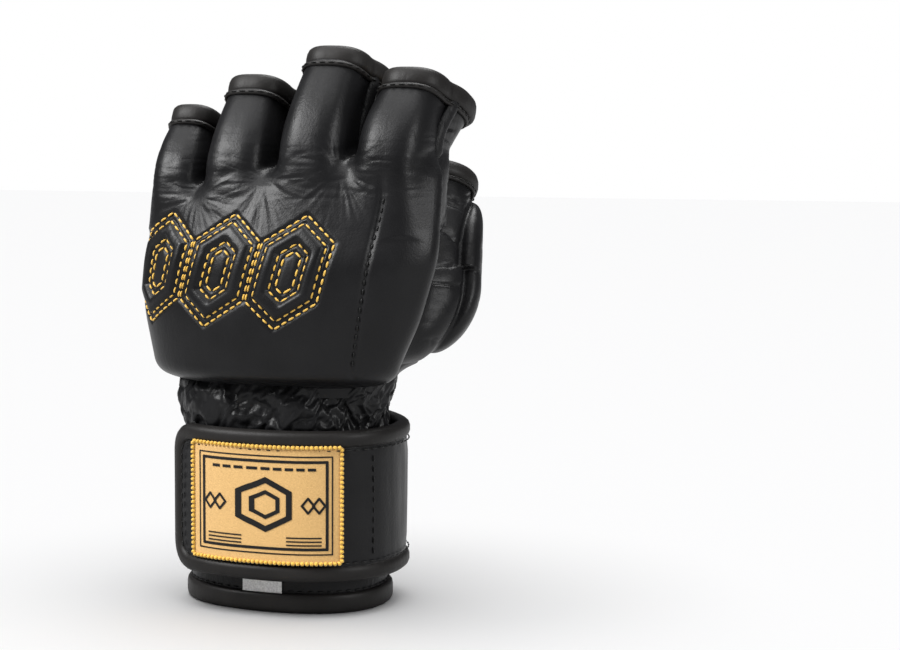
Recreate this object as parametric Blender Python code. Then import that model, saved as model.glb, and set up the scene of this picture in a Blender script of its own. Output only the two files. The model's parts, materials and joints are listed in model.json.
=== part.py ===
"""A left-hand MMA glove, standing on its cuff: open palm, four padded finger stalls, a thumb stall
and a padded hook-and-loop wrist strap.

Frame: +Z runs up the glove from the cuff to the fingers, -Y is the back of the hand, +Y is the palm
and +X is the thumb side. The origin is the middle of the base of the glove's bounding box.
Lengths in this file are millimetres, and angles round the hand are degrees from +X towards +Y.
"""

import math

import bpy
import numpy as np

MM = 0.001
GAP = 0.35  # air between two neighbouring pieces
FOAM_GAP = 1.4  # air between a pad's foam and the leather over it, along the pad's offset
SQUARENESS = 2.3  # superellipse exponent of every cross-section

# Hand and cuff: rows of (height, centre x, centre y, half width, half depth) of the leather tube.
CUFF_HALF_WIDTH = 34.5
CUFF_HALF_DEPTH = 26.0
CUFF_TOP = 64.0
HAND_BOTTOM = 81.0
SECTIONS = (
    (0, 0, 0, CUFF_HALF_WIDTH, CUFF_HALF_DEPTH),
    (CUFF_TOP, 0, 0, CUFF_HALF_WIDTH, CUFF_HALF_DEPTH),
    (74, 0, 0, 35, 25),
    (86, 0.5, -1, 40, 24),
    (105, 2, -2, 46, 23),
    (125, 4, -2, 49.5, 21),
    (145, 5, -1, 52, 18.5),
    (160, 5, 0, 53, 17),
)

# Layers, measured outwards from that tube.
LINING = (-1.1, -0.5)
LEATHER = (0.0, 1.4)
SKIN = 1.3  # leather over foam
KNUCKLE_PAD = 11.0  # foam over the knuckles
KNUCKLE_TAPER = 0.45  # how much of that is lost towards the webs
FINGER_PAD = 7.5  # foam on the back of each finger

# Height of the webs, where the finger stalls start, against x.
WEB_X = (-49, -37, -12, 16, 44, 58)
WEB_Z = (144.5, 146, 149.5, 154.5, 153, 151)

# Finger stalls: base centre x and y, rim centre (x, y, z), width and depth at base and rim.
FINGERS = {
    "index": ((44.5, 0.5), (49.5, 13, 178.5), (23.4, 23.5), (25.2, 22.5)),
    "middle": ((16.2, -0.5), (19.3, 13, 187), (23.4, 24.5), (25.4, 23.5)),
    "ring": ((-11.6, 0), (-11, 13, 177), (22.8, 23.5), (24.6, 22.5)),
    "little": ((-36.8, 1.5), (-39.2, 15, 166), (18.6, 20.5), (20.6, 20)),
}
FINGER_BACK = (212.0, 328.0)  # the padded back of each stall, as angles round it
FINGER_BULGE = 2.1  # the most that anything stands out sideways from a stall's lining side
RIM_TILT = 24.0  # degrees that a rim leans towards the palm
FINGER_FLEX = 25.0  # degrees that a stall folds towards the palm
FOLD_ROOM = 6.0  # more degrees than that are left free
FINGER_HINGE_DEPTH = 1.5  # the hinge's distance inside the back of the stall

# Thumb stall: its centre line, and the height of the crotch where it leaves the hand.
THUMB_BASE = (47, 9, 82)
THUMB_RIM = (38.5, 45.5, 147)
THUMB_SIZE = (31.0, 28.0)
THUMB_PAD = 5.5
THUMB_CROTCH = 0.60  # share of the centre line
THUMB_STRAIGHT = 0.45  # the centre line is straight above this share of it
THUMB_ROOT_SHIFT = 14.0  # how far the root lies inside that line
THUMB_FLEX = 10.0
THUMB_OUT = 47.0  # direction round the hand that the thumb's padded back faces

SIDE_SEAM = 31.0  # angle where the thumb-side panel meets the thenar panel

# Palm opening and the slit that it runs into, as angles round the hand.
PALM = (84.0, 137.0)
SLIT = (96.0, 116.0)
GRIP_Z = (136.0, 146.5)
GRIP_BINDING_START = 12.0  # degrees beside the thumb that its edge leaves bare, so that the thumb folds
GRIP_BINDING_OUT = 2.9

# Back pad's sides, as angles round the hand.
BACK = (172.0, 339.0)

# Strap: where it is sewn down, where it bends, and its free end, as angles going down from the palm
# past the thumb side and the back.
STRAP_BENDS = (147.0, 118.0, 28.0, -28.0, -142.0)
STRAP_Z = (13.0, 65.0)
STRAP_ROOT_RISE = 9.0  # the sewn end is taller than the rest
STRAP_LIFT = (2.0, 5.0)  # its inner face above the cuff tube, at the sewn end and at the free end
STRAP_PAD = 2.5
STRAP_EDGE = 3.4  # height of the binding along its edges
STRAP_CORNER = 9.0
STRAP_LEATHER = 1.2
LABEL = (-36.0, -127.0)
LABEL_HALF_HEIGHT = 20.5
LABEL_Z = 40.0

HEM_HEIGHT = 6.5
BINDING = 3.6  # height of a rim's binding

COLOURS = {
    "black_leather": (0.016, 0.016, 0.018),
    "foam": (0.12, 0.12, 0.13),
    "printed_lining": (0.05, 0.04, 0.02),
    "hook_and_loop": (0.02, 0.02, 0.02),
    "woven_label": (0.72, 0.52, 0.26),
    "white_tag": (0.85, 0.85, 0.84),
}


def clear_scene():
    for item in list(bpy.data.objects):
        bpy.data.objects.remove(item, do_unlink=True)


def material(name):
    found = bpy.data.materials.get(name)
    if found:
        return found
    made = bpy.data.materials.new(name)
    made.use_nodes = True
    shader = made.node_tree.nodes["Principled BSDF"]
    shader.inputs["Base Color"].default_value = (*COLOURS[name], 1)
    shader.inputs["Roughness"].default_value = 0.45 if name == "black_leather" else 0.85
    shader.inputs["Metallic"].default_value = 0.0
    return made


def mesh_object(name, points, faces, material_name):
    """A named object from points in millimetres."""
    mesh = bpy.data.meshes.new(name)
    mesh.from_pydata([tuple(float(c) * MM for c in p) for p in points], [], faces)
    mesh.validate()
    mesh.materials.append(material(material_name))
    mesh.shade_smooth()
    mesh.set_sharp_from_angle(angle=math.radians(40))
    made = bpy.data.objects.new(name, mesh)
    bpy.context.scene.collection.objects.link(made)
    return made


def slab(name, place, u_range, v_range, inner, outer, counts, material_name, closed=False):
    """A closed solid between two offsets of a surface. place(u, v, offset) gives a point, and inner
    and outer are offsets, or functions of (u, v) that give them. A closed slab goes right round in u."""
    nu, nv = counts
    us = np.linspace(*u_range, nu + 1)[: nu if closed else nu + 1]
    vs = np.linspace(*v_range, nv + 1)
    points = []
    for offset in (outer, inner):
        for v in vs:
            for u in us:
                points.append(place(u, v, offset(u, v) if callable(offset) else offset))
    columns, rows = len(us), len(vs)
    layer = columns * rows

    def quad(i, j, k):
        """Grid corner i, j of the outer (0) or inner (1) layer."""
        return k * layer + j * columns + i % columns

    faces = []
    spans = columns if closed else columns - 1
    for j in range(rows - 1):
        for i in range(spans):
            ring = [(i, j), (i + 1, j), (i + 1, j + 1), (i, j + 1)]
            faces.append([quad(a, b, 0) for a, b in ring])
            faces.append([quad(a, b, 1) for a, b in reversed(ring)])
    for i in range(spans):
        faces.append([quad(i + 1, 0, 0), quad(i, 0, 0), quad(i, 0, 1), quad(i + 1, 0, 1)])
        top = rows - 1
        faces.append([quad(i, top, 0), quad(i + 1, top, 0), quad(i + 1, top, 1), quad(i, top, 1)])
    if not closed:
        for j in range(rows - 1):
            last = columns - 1
            faces.append([quad(0, j, 0), quad(0, j + 1, 0), quad(0, j + 1, 1), quad(0, j, 1)])
            faces.append([quad(last, j + 1, 0), quad(last, j, 0), quad(last, j, 1), quad(last, j + 1, 1)])
    made = mesh_object(name, points, faces, material_name)
    face_outwards(made)
    return made


def face_outwards(made):
    """Turns the faces round if the closed mesh is inside out."""
    mesh = made.data
    mesh.calc_loop_triangles()
    corners = np.array([[mesh.vertices[i].co for i in t.vertices] for t in mesh.loop_triangles])
    if np.linalg.det(corners).sum() < 0:
        mesh.flip_normals()


def boolean(made, other, operation="DIFFERENCE"):
    """Cuts or joins with a helper, which is left hidden."""
    modifier = made.modifiers.new(operation.lower(), "BOOLEAN")
    modifier.operation = operation
    modifier.object = other
    other.hide_render = True
    other.display_type = "WIRE"


def rounded(share):
    """A pad's thickness across its width: 0 at both edges, 1 over the middle. share runs 0 to 1."""
    edge = min(share, 1 - share) * 2
    return 1 - (1 - min(1, edge * 1.6)) ** 2.4


# ---------------------------------------------------------------- cross-sections

def superellipse(angle, half_width, half_depth, offset):
    """A point on a superellipse at an angle in degrees, moved outwards by the offset."""
    c, s = math.cos(math.radians(angle)), math.sin(math.radians(angle))
    power = 2 / SQUARENESS
    x = math.copysign(abs(c) ** power, c)
    y = math.copysign(abs(s) ** power, s)
    nx = math.copysign(abs(x) ** (SQUARENESS - 1), c) / half_width
    ny = math.copysign(abs(y) ** (SQUARENESS - 1), s) / half_depth
    length = math.hypot(nx, ny)
    return half_width * x + offset * nx / length, half_depth * y + offset * ny / length


def section(z):
    """Centre and half sizes of the hand tube at a height."""
    heights = [row[0] for row in SECTIONS]
    k = max(0, min(len(heights) - 2, int(np.searchsorted(heights, z, side="right")) - 1))
    low, high = SECTIONS[k], SECTIONS[k + 1]
    t = min(1.0, max(0.0, (z - low[0]) / (high[0] - low[0])))
    return [a + (b - a) * t for a, b in zip(low[1:], high[1:])]


def hand(angle, z, offset):
    cx, cy, half_width, half_depth = section(z)
    x, y = superellipse(angle, half_width, half_depth, offset)
    return cx + x, cy + y, z


def web_height(x):
    return float(np.interp(x, WEB_X, WEB_Z))


def up_to_web(bottom):
    """A surface of the hand whose v runs from 0 at the bottom to 1 at the webs."""

    def place(angle, v, offset):
        top = web_height(hand(angle, 150, offset)[0]) - GAP
        return hand(angle, bottom + (top - bottom) * v, offset)

    return place


# ---------------------------------------------------------------- hand

def build_hand():
    bottom = HAND_BOTTOM
    place = up_to_web(bottom)
    span = BACK[1] - BACK[0]

    def pad(angle, v):
        side = rounded((angle - BACK[0]) / span)
        ends = min(1, (v + 0.02) * 7) ** 0.5
        taper = 1 - KNUCKLE_TAPER * max(0, (v - 0.5) / 0.5)
        return 1.2 + (KNUCKLE_PAD - 1.2) * side * ends * taper

    slab("knuckle_foam", place, BACK, (0, 1), GAP, pad, (22, 10), "foam")
    slab("knuckle_skin", place, BACK, (0, 1), lambda a, v: pad(a, v) + FOAM_GAP,
         lambda a, v: pad(a, v) + FOAM_GAP + SKIN, (22, 10), "black_leather")
    slab("back_lining", place, (BACK[0] + 1, BACK[1] - 1), (0, 1), *LINING, (22, 6), "printed_lining")
    build_emblem(place, pad)

    side = slab("thumb_side_panel", place, (BACK[1] - 360 + 0.8, SIDE_SEAM - 0.4), (0, 1), *LEATHER, (8, 10),
                "black_leather")
    thenar = slab("thenar_panel", hand, (SIDE_SEAM + 0.4, PALM[0] - 4.8),
                  (bottom, GRIP_Z[0] - 4.4), *LEATHER, (8, 9), "black_leather")
    slab("little_side_panel", place, (PALM[1] + 5.2, BACK[0] - 0.9), (0, 1), *LEATHER, (6, 8),
         "black_leather")
    for number, (edge, way) in enumerate(((PALM[0], -1), (PALM[1], 1))):
        name = ("thenar_edge_binding", "little_edge_binding")[number]
        angles = sorted((edge, edge + way * 4.2))
        slab(name, hand, angles, (bottom, GRIP_Z[0] - 4.4), -0.9, 2.6, (2, 8), "black_leather")
    build_grip_bar()
    way_in = thumb_tube("thumb_way_in_cutter", 0.22, 0.98, None, -0.5)
    for panel in (side, thenar):
        boolean(panel, way_in)


def build_grip_bar():
    low, high = GRIP_Z
    ends = (SIDE_SEAM + 0.4, PALM[1] + 4.0)
    slab("grip_bar_foam", hand, ends, (low, high - 0.5), -0.4, 3.4, (12, 2), "foam")
    slab("grip_bar_cover", hand, ends, (low, high - 0.5), 3.4 + GAP, 4.9, (12, 2), "black_leather")
    clear_of_thumb = (SIDE_SEAM + GRIP_BINDING_START, ends[1])
    slab("grip_bar_lower_binding", hand, clear_of_thumb, (low - 4, low - GAP), -0.6, GRIP_BINDING_OUT,
         (12, 1), "black_leather")


def build_emblem(place, pad):
    """Three slanting hexagonal puffs across the knuckles."""
    middle, pitch, height, width, slant = 258.0, 27.0, 0.42, 11.0, 5.0
    for number in range(3):
        centre = middle + (number - 1) * pitch

        def lens(u, v, o, centre=centre):
            """u and v from -1 to 1 fill a hexagon that leans towards the thumb side."""
            half = width * (1 - 0.38 * abs(v))
            angle = centre + u * half + v * slant
            return place(angle, height + v * 0.22, pad(angle, height + v * 0.22) + FOAM_GAP + SKIN + 0.5 + o)

        slab(f"emblem_puff_{number + 1}", lens, (-1, 1), (-1, 1), 0.0, 1.6, (6, 6), "black_leather")


# ---------------------------------------------------------------- fingers

def finger_surface(name):
    """place(angle, v, offset) of a finger stall. v is 0 at the web and 1 at the rim, and may pass 1."""
    (bx, by), rim, (bw, bd), (rw, rd) = FINGERS[name]
    lean = math.radians(RIM_TILT)

    def place(angle, v, offset):
        swell = max(0.0, offset - FINGER_BULGE)  # padding grows backwards, never sideways
        x, y = superellipse(angle, bw / 2, bd / 2, offset - swell)
        y -= swell
        start = np.array((bx + x, by + y, web_height(bx + x) + GAP))
        x, y = superellipse(angle, rw / 2, rd / 2, offset - swell)
        y -= swell
        end = np.array((rim[0] + x, rim[1] + y * math.cos(lean), rim[2] - y * math.sin(lean)))
        knee = start + np.array((0, 0, 0.5 * (end[2] - start[2])))
        t = min(v, 1)
        point = (1 - t) ** 2 * start + 2 * t * (1 - t) * knee + t * t * end
        along = np.array((0, math.sin(lean), math.cos(lean)))
        return point + along * max(0, v - 1) * (rim[2] - start[2])

    return place


def finger_length(name):
    (bx, _), rim, _, _ = FINGERS[name]
    return rim[2] - web_height(bx)


def finger_wedge(name):
    """The share of each line up the stall that its palm side leaves free, so that it can fold."""
    _, _, (_, depth), _ = FINGERS[name]
    hinge = -depth / 2 + FINGER_HINGE_DEPTH
    slope = math.tan(math.radians(FINGER_FLEX + FOLD_ROOM))

    def start(angle):
        _, y = superellipse(angle, 10, depth / 2, 0)
        room = max(0.0, y - hinge) * slope
        dorsal_wall = finger_length(name) - math.sin(math.radians(RIM_TILT)) * y
        return min(0.72, (room + 0.2) / dorsal_wall)

    return start


def build_finger(name):
    surface = finger_surface(name)
    start = finger_wedge(name)

    def stall(angle, v, offset):
        low = start(angle)
        return surface(angle, low + (0.97 - low) * v, offset)

    back = FINGER_BACK

    def pad(angle, v):
        side = rounded((angle - back[0]) / (back[1] - back[0]))
        ends = min(1, (1.03 - v) * 4) ** 0.5
        return LEATHER[1] + 1.4 + (FINGER_PAD - 1.4) * side * ends

    slab(f"{name}_stall", stall, (0, 360), (0, 1), *LEATHER, (24, 5), "black_leather", closed=True)
    slab(f"{name}_lining", stall, (0, 360), (0, 0.98), *LINING, (24, 5), "printed_lining", closed=True)
    slab(f"{name}_foam", surface, back, (0.0, 0.95), LEATHER[1] + 0.6, pad, (10, 6), "foam")
    slab(f"{name}_skin", surface, back, (0.0, 0.97), lambda a, v: pad(a, v) + FOAM_GAP,
         lambda a, v: pad(a, v) + FOAM_GAP + SKIN, (10, 6), "black_leather")

    def rim_outside(angle, v):
        if back[0] < angle % 360 < back[1]:
            return pad(angle % 360, 0.97) + FOAM_GAP + SKIN + 0.6
        return LEATHER[1] + 1.2

    top = 1 + BINDING / finger_length(name)
    slab(f"{name}_binding", surface, (0, 360), (0.985, top), -1.0, rim_outside, (28, 1),
         "black_leather", closed=True)


# ---------------------------------------------------------------- thumb

def thumb_axes():
    """Centre line start, full vector, outward direction (its padded back) and sideways direction."""
    base, rim = np.array(THUMB_BASE, float), np.array(THUMB_RIM, float)
    along = rim - base
    unit = along / np.linalg.norm(along)
    out = np.array((math.cos(math.radians(THUMB_OUT)), math.sin(math.radians(THUMB_OUT)), 0))
    out = out - unit * out.dot(unit)
    out /= np.linalg.norm(out)
    return base, along, out, np.cross(out, unit)


def thumb(angle, v, offset):
    """Angle 0 is the thumb's padded back, facing outwards, and v runs along the centre line. The
    root narrows and bends into the hand."""
    base, along, out, side = thumb_axes()
    root = max(0.0, THUMB_STRAIGHT - v) / THUMB_STRAIGHT
    narrow = (1 - 0.07 * v) * (1 - 0.42 * root**2)
    x, y = superellipse(angle, THUMB_SIZE[1] / 2 * narrow, THUMB_SIZE[0] / 2 * narrow, offset)
    return base + along * v + out * (x - THUMB_ROOT_SHIFT * root**2) + side * y


def thumb_tube(name, low, high, inner, outer):
    """A piece of the thumb's tube, solid when inner is None."""
    if inner is not None:
        return slab(name, thumb, (0, 360), (low, high), inner, outer, (24, 8), "black_leather", closed=True)
    return stacked(name, [[thumb(15 * i, v, outer) for i in range(24)] for v in np.linspace(low, high, 9)])


def hand_volume(name, offset):
    """The whole inside of the hand tube as a helper solid."""
    heights = np.linspace(HAND_BOTTOM - 12, 158, 12)
    return stacked(name, [[hand(10 * i, z, offset) for i in range(36)] for z in heights])


def stacked(name, rings):
    """A closed solid through rings of points."""
    ring, rows = len(rings[0]), len(rings)
    faces = [list(range(ring))[::-1], [ring * (rows - 1) + i for i in range(ring)]]
    for j in range(rows - 1):
        for i in range(ring):
            low, high = j * ring, (j + 1) * ring
            faces.append([low + i, low + (i + 1) % ring, high + (i + 1) % ring, high + i])
    made = mesh_object(name, [point for row in rings for point in row], faces, "black_leather")
    face_outwards(made)
    return made


def build_thumb():
    slope = math.tan(math.radians(THUMB_FLEX + FOLD_ROOM))
    length = np.linalg.norm(np.array(THUMB_RIM) - np.array(THUMB_BASE))
    hinge = THUMB_SIZE[1] / 2 - 1.5

    def free(angle, v, offset):
        """The stall above the crotch, cut away on its inner side so that it can fold inwards."""
        x, _ = superellipse(angle, THUMB_SIZE[1] / 2, THUMB_SIZE[0] / 2, 0)
        low = THUMB_CROTCH + (max(0.0, hinge - x) * slope + GAP) / length
        return thumb(angle, low + (0.965 - low) * v, offset)

    base = thumb_tube("thumb_base_panel", 0.0, THUMB_CROTCH, *LEATHER)
    boolean(base, hand_volume("thumb_base_cutter", LEATHER[1] + 2 * GAP))
    slab("thumb_stall", free, (0, 360), (0, 1), *LEATHER, (24, 4), "black_leather", closed=True)
    slab("thumb_lining", free, (0, 360), (0, 0.97), *LINING, (24, 4), "printed_lining", closed=True)
    top = 0.975 + BINDING / length
    slab("thumb_binding", thumb, (0, 360), (0.975, top), -1.0, LEATHER[1] + 1.2, (24, 1),
         "black_leather", closed=True)

    def lens(u, v, offset):
        """u and v from -1 to 1 fill an oval, narrower towards the palm's heel."""
        half = 62 * math.sqrt(max(0.02, 1 - 0.72 * v * v)) * (1 if v > 0 else 1 - 0.25 * v * v)
        return thumb(u * half, 0.52 + 0.39 * v, offset)

    def swell(u, v):
        return LEATHER[1] + 1.0 + (THUMB_PAD - 1.0) * (1 - abs(u) ** 3) * (1 - abs(v) ** 3)

    slab("thumb_pad_foam", lens, (-1, 1), (-1, 1), LEATHER[1] + 0.7, swell, (10, 8), "foam")
    slab("thumb_pad_skin", lens, (-1, 1), (-1, 1), lambda u, v: swell(u, v) + FOAM_GAP,
         lambda u, v: swell(u, v) + FOAM_GAP + SKIN, (10, 8), "black_leather")


# ---------------------------------------------------------------- cuff and strap

def build_cuff():
    round_cuff = (SLIT[1], SLIT[0] + 360)
    body = (HEM_HEIGHT + GAP, CUFF_TOP)
    slab("cuff_shell", hand, round_cuff, body, *LEATHER, (40, 2), "black_leather")
    slab("cuff_lining", hand, round_cuff, body, *LINING, (40, 2), "printed_lining")
    slab("cuff_hem", hand, round_cuff, (0, HEM_HEIGHT), -1.8, 2.6, (40, 1), "black_leather")
    slab("loop_patch", hand, (LABEL[1] + 360 - 6, LABEL[0] + 360 + 2), (19, 58),
         LEATHER[1] + GAP, LEATHER[1] + 1.5, (12, 1), "hook_and_loop")
    slab("wrist_gusset", hand, (SLIT[1] + 2, SLIT[0] + 358), (CUFF_TOP + GAP, HAND_BOTTOM - GAP),
         -0.2, 1.0, (40, 3), "black_leather")
    slab("size_tag", hand, (262, 281), (6.8, 11.0), LEATHER[1] + GAP, LEATHER[1] + 0.75, (4, 1),
         "white_tag")


def strap_lift(angle):
    """How far the strap's inner face stands off the cuff tube."""
    share = (STRAP_BENDS[0] - angle) / (STRAP_BENDS[0] + 40)
    return STRAP_LIFT[0] + (STRAP_LIFT[1] - STRAP_LIFT[0]) * min(1, max(0, share))


def strap(angle, z, offset):
    x, y = superellipse(angle, CUFF_HALF_WIDTH, CUFF_HALF_DEPTH, strap_lift(angle) + offset)
    return x, y, z


def strap_edges(angle):
    """Bottom and top of the strap at an angle: it rises towards its sewn end, and its free end is
    rounded."""
    low, high = STRAP_Z
    rise = (angle - STRAP_BENDS[2]) / (STRAP_BENDS[0] - STRAP_BENDS[2])
    high += STRAP_ROOT_RISE * max(0, rise) ** 1.5
    per_degree = math.pi / 180 * (CUFF_HALF_WIDTH + CUFF_HALF_DEPTH + 10) / 2
    left = (angle - STRAP_BENDS[4]) * per_degree
    if left < STRAP_CORNER:
        drop = STRAP_CORNER - math.sqrt(max(0, STRAP_CORNER**2 - (STRAP_CORNER - left) ** 2))
        low, high = low + drop, high - drop
    return low, high


def build_strap():
    pieces = ("anchor", "palm", "side", "tip")
    for number, piece in enumerate(pieces):
        begin, end = STRAP_BENDS[number], STRAP_BENDS[number + 1]
        trim = 0.3 if piece != "tip" else 3.5
        angles = (end + trim, begin - (0.3 if number else 0))
        steps = max(3, int(abs(begin - end) / 7))

        def body(angle, v, offset):
            low, high = strap_edges(angle - (2.9 if angle < -100 else 0))
            low, high = low + STRAP_EDGE + 0.5, high - STRAP_EDGE - 0.5
            return strap(angle, low + (high - low) * v, offset)

        if piece == "anchor":
            slab("strap_anchor", body, angles, (0, 1), 0.0, STRAP_PAD + GAP + STRAP_LEATHER, (steps, 3),
                 "black_leather")
            continue
        slab(f"strap_{piece}_foam", body, angles, (0, 1), 0.0, STRAP_PAD, (steps, 3), "foam")
        slab(f"strap_{piece}_skin", body, angles, (0, 1), STRAP_PAD + GAP,
             STRAP_PAD + GAP + STRAP_LEATHER, (steps, 3), "black_leather")

        def bottom_edge(angle, v, offset):
            low, _ = strap_edges(angle)
            return strap(angle, low + STRAP_EDGE * v, offset)

        def top_edge(angle, v, offset):
            _, high = strap_edges(angle)
            return strap(angle, high - STRAP_EDGE * (1 - v), offset)

        thickness = STRAP_PAD + GAP + STRAP_LEATHER + 0.5
        if piece == "tip":
            build_tip_binding(thickness)
            continue
        slab(f"strap_{piece}_lower_binding", bottom_edge, angles, (0, 1), -0.3, thickness, (steps, 1),
             "black_leather")
        slab(f"strap_{piece}_upper_binding", top_edge, angles, (0, 1), -0.3, thickness, (steps, 1),
             "black_leather")
    slab("hook_patch", strap, (LABEL[1] - 4, LABEL[0] + 1), (20, 57), -1.5, -GAP, (12, 1), "hook_and_loop")
    surface = STRAP_PAD + GAP + STRAP_LEATHER + GAP
    slab("label", strap, (LABEL[1], LABEL[0]), (LABEL_Z - LABEL_HALF_HEIGHT, LABEL_Z + LABEL_HALF_HEIGHT),
         surface, surface + 0.8, (14, 1), "woven_label")


def build_tip_binding(thickness):
    """One rolled edge along the bottom, round the free end and back along the top."""
    begin, end = STRAP_BENDS[3] - 0.3, STRAP_BENDS[4]
    middle = sum(STRAP_Z) / 2
    count = 22
    corner = [end + (begin - end) * (k / count) ** 1.7 for k in range(count, -1, -1)]
    outline = []
    for angle in corner:
        outline.append((angle, strap_edges(angle)[0], 1))
    for angle in reversed(corner):
        outline.append((angle, strap_edges(angle)[1], -1))

    def place(k, v, offset):
        """k counts along the outline, and v goes from its outside to its inside."""
        angle, z, way = outline[int(round(k))]
        near_end = max(0.0, 1 - (angle - end) / 9.0)
        inwards = way * STRAP_EDGE * v * (1 - 0.55 * near_end)
        turned = angle + 3.0 * v * near_end
        return strap(turned, min(z + inwards, middle) if way > 0 else max(z + inwards, middle), offset)

    last = len(outline) - 1
    slab("strap_tip_binding", place, (0, last), (0, 1), -0.3, thickness, (last, 1), "black_leather")


def stand_on_origin():
    """Moves every object so that the middle of the base of the bounding box is the origin."""
    bpy.context.view_layer.update()
    shown = [o for o in bpy.data.objects if not o.hide_render]
    corners = np.array([v.co for o in shown for v in o.data.vertices])
    low, high = corners.min(0), corners.max(0)
    shift = np.array(((low[0] + high[0]) / 2, (low[1] + high[1]) / 2, low[2]))
    for item in bpy.data.objects:
        item.location = -shift
    print("moved by", [round(float(-c) / MM, 3) for c in shift], "mm")


clear_scene()
build_hand()
for finger in FINGERS:
    build_finger(finger)
build_thumb()
build_cuff()
build_strap()
stand_on_origin()
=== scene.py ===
"""A left-hand MMA glove in black leather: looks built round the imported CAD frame.

The glove's leather is one skin, taken from a field of signed distances: a hand, four finger stalls,
a thumb and their pads, melted together as sewn and stuffed leather is. It is parted along the joints
only after its normals are known, so that the joints don't show at rest. Rolled bindings, stitches,
strap, label and linings are built on it.

Lengths are millimetres from the middle of the cuff (+X thumb side, +Y palm, +Z up) until a mesh is
made. Angles round the hand are degrees from +X towards +Y, so that 270 is the middle of the back.
"""

import json
import math

import bpy
import numpy as np
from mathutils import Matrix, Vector


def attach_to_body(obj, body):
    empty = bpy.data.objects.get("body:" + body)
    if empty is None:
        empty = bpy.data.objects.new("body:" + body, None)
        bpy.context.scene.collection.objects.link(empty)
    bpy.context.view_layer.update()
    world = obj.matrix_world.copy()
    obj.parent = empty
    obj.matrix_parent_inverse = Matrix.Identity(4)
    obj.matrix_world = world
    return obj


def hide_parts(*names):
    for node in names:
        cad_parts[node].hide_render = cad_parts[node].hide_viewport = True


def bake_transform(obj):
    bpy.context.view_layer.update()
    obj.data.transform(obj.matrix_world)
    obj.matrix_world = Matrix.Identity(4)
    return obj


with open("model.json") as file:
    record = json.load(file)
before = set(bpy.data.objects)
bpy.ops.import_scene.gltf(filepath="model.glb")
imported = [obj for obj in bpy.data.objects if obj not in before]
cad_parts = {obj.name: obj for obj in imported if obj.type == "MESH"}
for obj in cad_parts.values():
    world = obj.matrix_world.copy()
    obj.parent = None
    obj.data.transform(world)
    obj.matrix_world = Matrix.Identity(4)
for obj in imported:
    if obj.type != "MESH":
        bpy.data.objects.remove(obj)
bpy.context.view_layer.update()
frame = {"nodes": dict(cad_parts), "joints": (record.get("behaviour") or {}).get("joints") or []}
JOINTS = {joint["name"]: joint for joint in frame["joints"]}
WRIST = np.array(JOINTS["wrist_flex"]["pos_m"]) * 1000
SHIFT = np.array((WRIST[0], WRIST[1], 0.0))  # from the cuff's middle to the frame's origin
FINGERS = ("index", "middle", "ring", "little")

# Leather tube of the hand: rows of (height, centre x, centre y, half width, half depth).
HAND_ROWS = (
    (0, 0, 0, 35.9, 27.4),
    (62, 0, 0, 35.9, 27.4),
    (74, 0, 0, 36.4, 26.4),
    (86, 1.5, -1, 39.5, 25.2),
    (105, 4.0, -2, 44.6, 24.2),
    (125, 7.0, -2, 47.2, 22.4),
    (145, 8.0, -1, 49.6, 19.6),
    (160, 8.3, 1, 50.7, 17.4),
    (175, 8, 4, 51.5, 16),
)
SQUARENESS = 2.3

# Finger stalls: base centre (x, y), rim centre (x, y, z), half width and half depth at base and rim.
STALLS = {
    "index": ((44.2, 0.5), (49.5, 13.5, 179.0), (12.6, 13.2), (13.0, 12.6)),
    "middle": ((15.8, -0.5), (19.6, 13.5, 187.5), (12.8, 13.6), (13.4, 13.0)),
    "ring": ((-12.4, 0.0), (-11.2, 13.5, 177.5), (12.6, 13.2), (13.0, 12.6)),
    "little": ((-36.2, 1.5), (-36.8, 15.5, 166.5), (10.2, 12.0), (10.4, 11.6)),
}
# Webs between the stalls: their height against x.
WEBS = ((-50.0, 145.0), (-25.0, 147.5), (1.5, 153.5), (30.5, 157.0), (58.0, 155.0))
FINGER_PAD = 8.6  # padding on the back of each stall
RIM_TILT = math.radians(24)  # how far a rim leans towards the palm
RIM_UP = np.array((0, math.sin(RIM_TILT), math.cos(RIM_TILT)))
RIM_PALM = np.array((0, math.cos(RIM_TILT), -math.sin(RIM_TILT)))

# Thumb: centre line, half sizes and the direction round the hand that its pad faces.
THUMB_BASE = np.array((47.0, 9.0, 82.0))
THUMB_RIM = np.array((38.5, 45.5, 148.5))
THUMB_HALF = (15.4, 17.0)
THUMB_OUT = 47.0
THUMB_STRAIGHT = 0.45  # the centre line is straight above this share of it
THUMB_ROOT_SHIFT = 14.0  # how far the root lies inside that line
THUMB_PAD = 4.2
THUMB_CROTCH = 0.60  # the share of the centre line where the thumb leaves the hand

KNUCKLE_PAD = 12.0
BACK_EDGES = (177.0, 341.0)  # the pad's sides, as angles round the hand
PAD_BOTTOM = 80.0
PALM_BOTTOM = 80.5  # the palm side's lower edge, clear of the strap when the wrist bends

GRIP_Z = (136.5, 148.0)  # the bar across the top of the palm

# The palm's opening, in shares of the hand's half width from its middle, with rounded top corners.
OPENING_LEFT = -0.74
OPENING_CORNER = 8.0
OPENING_CORNER_SHARES = (0.16, 0.17)  # that corner's width at the left and the right

# Strap: it bends at these angles round the cuff, from its sewn end to its free end.
STRAP_HALF = (34.5, 26.0)
STRAP_Z = (13.0, 65.0)
STRAP_ROOT_RISE = 9.0
STRAP_BENDS = (147.0, 118.0, 28.0, -28.0, -142.0)
STRAP_CORNER = 10.0
STRAP_STITCH_OUT = 4.85  # of its edge stitches over its inner face
STRAP_SEAM_OUT = 4.75  # of the stitches across it
STRAP_PER_DEGREE = math.pi / 180 * (STRAP_HALF[0] + STRAP_HALF[1] + 10) / 2  # millimetres along it


# ---------------------------------------------------------------- small helpers

def to_world(points):
    return (np.asarray(points, float) + SHIFT) / 1000


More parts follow.
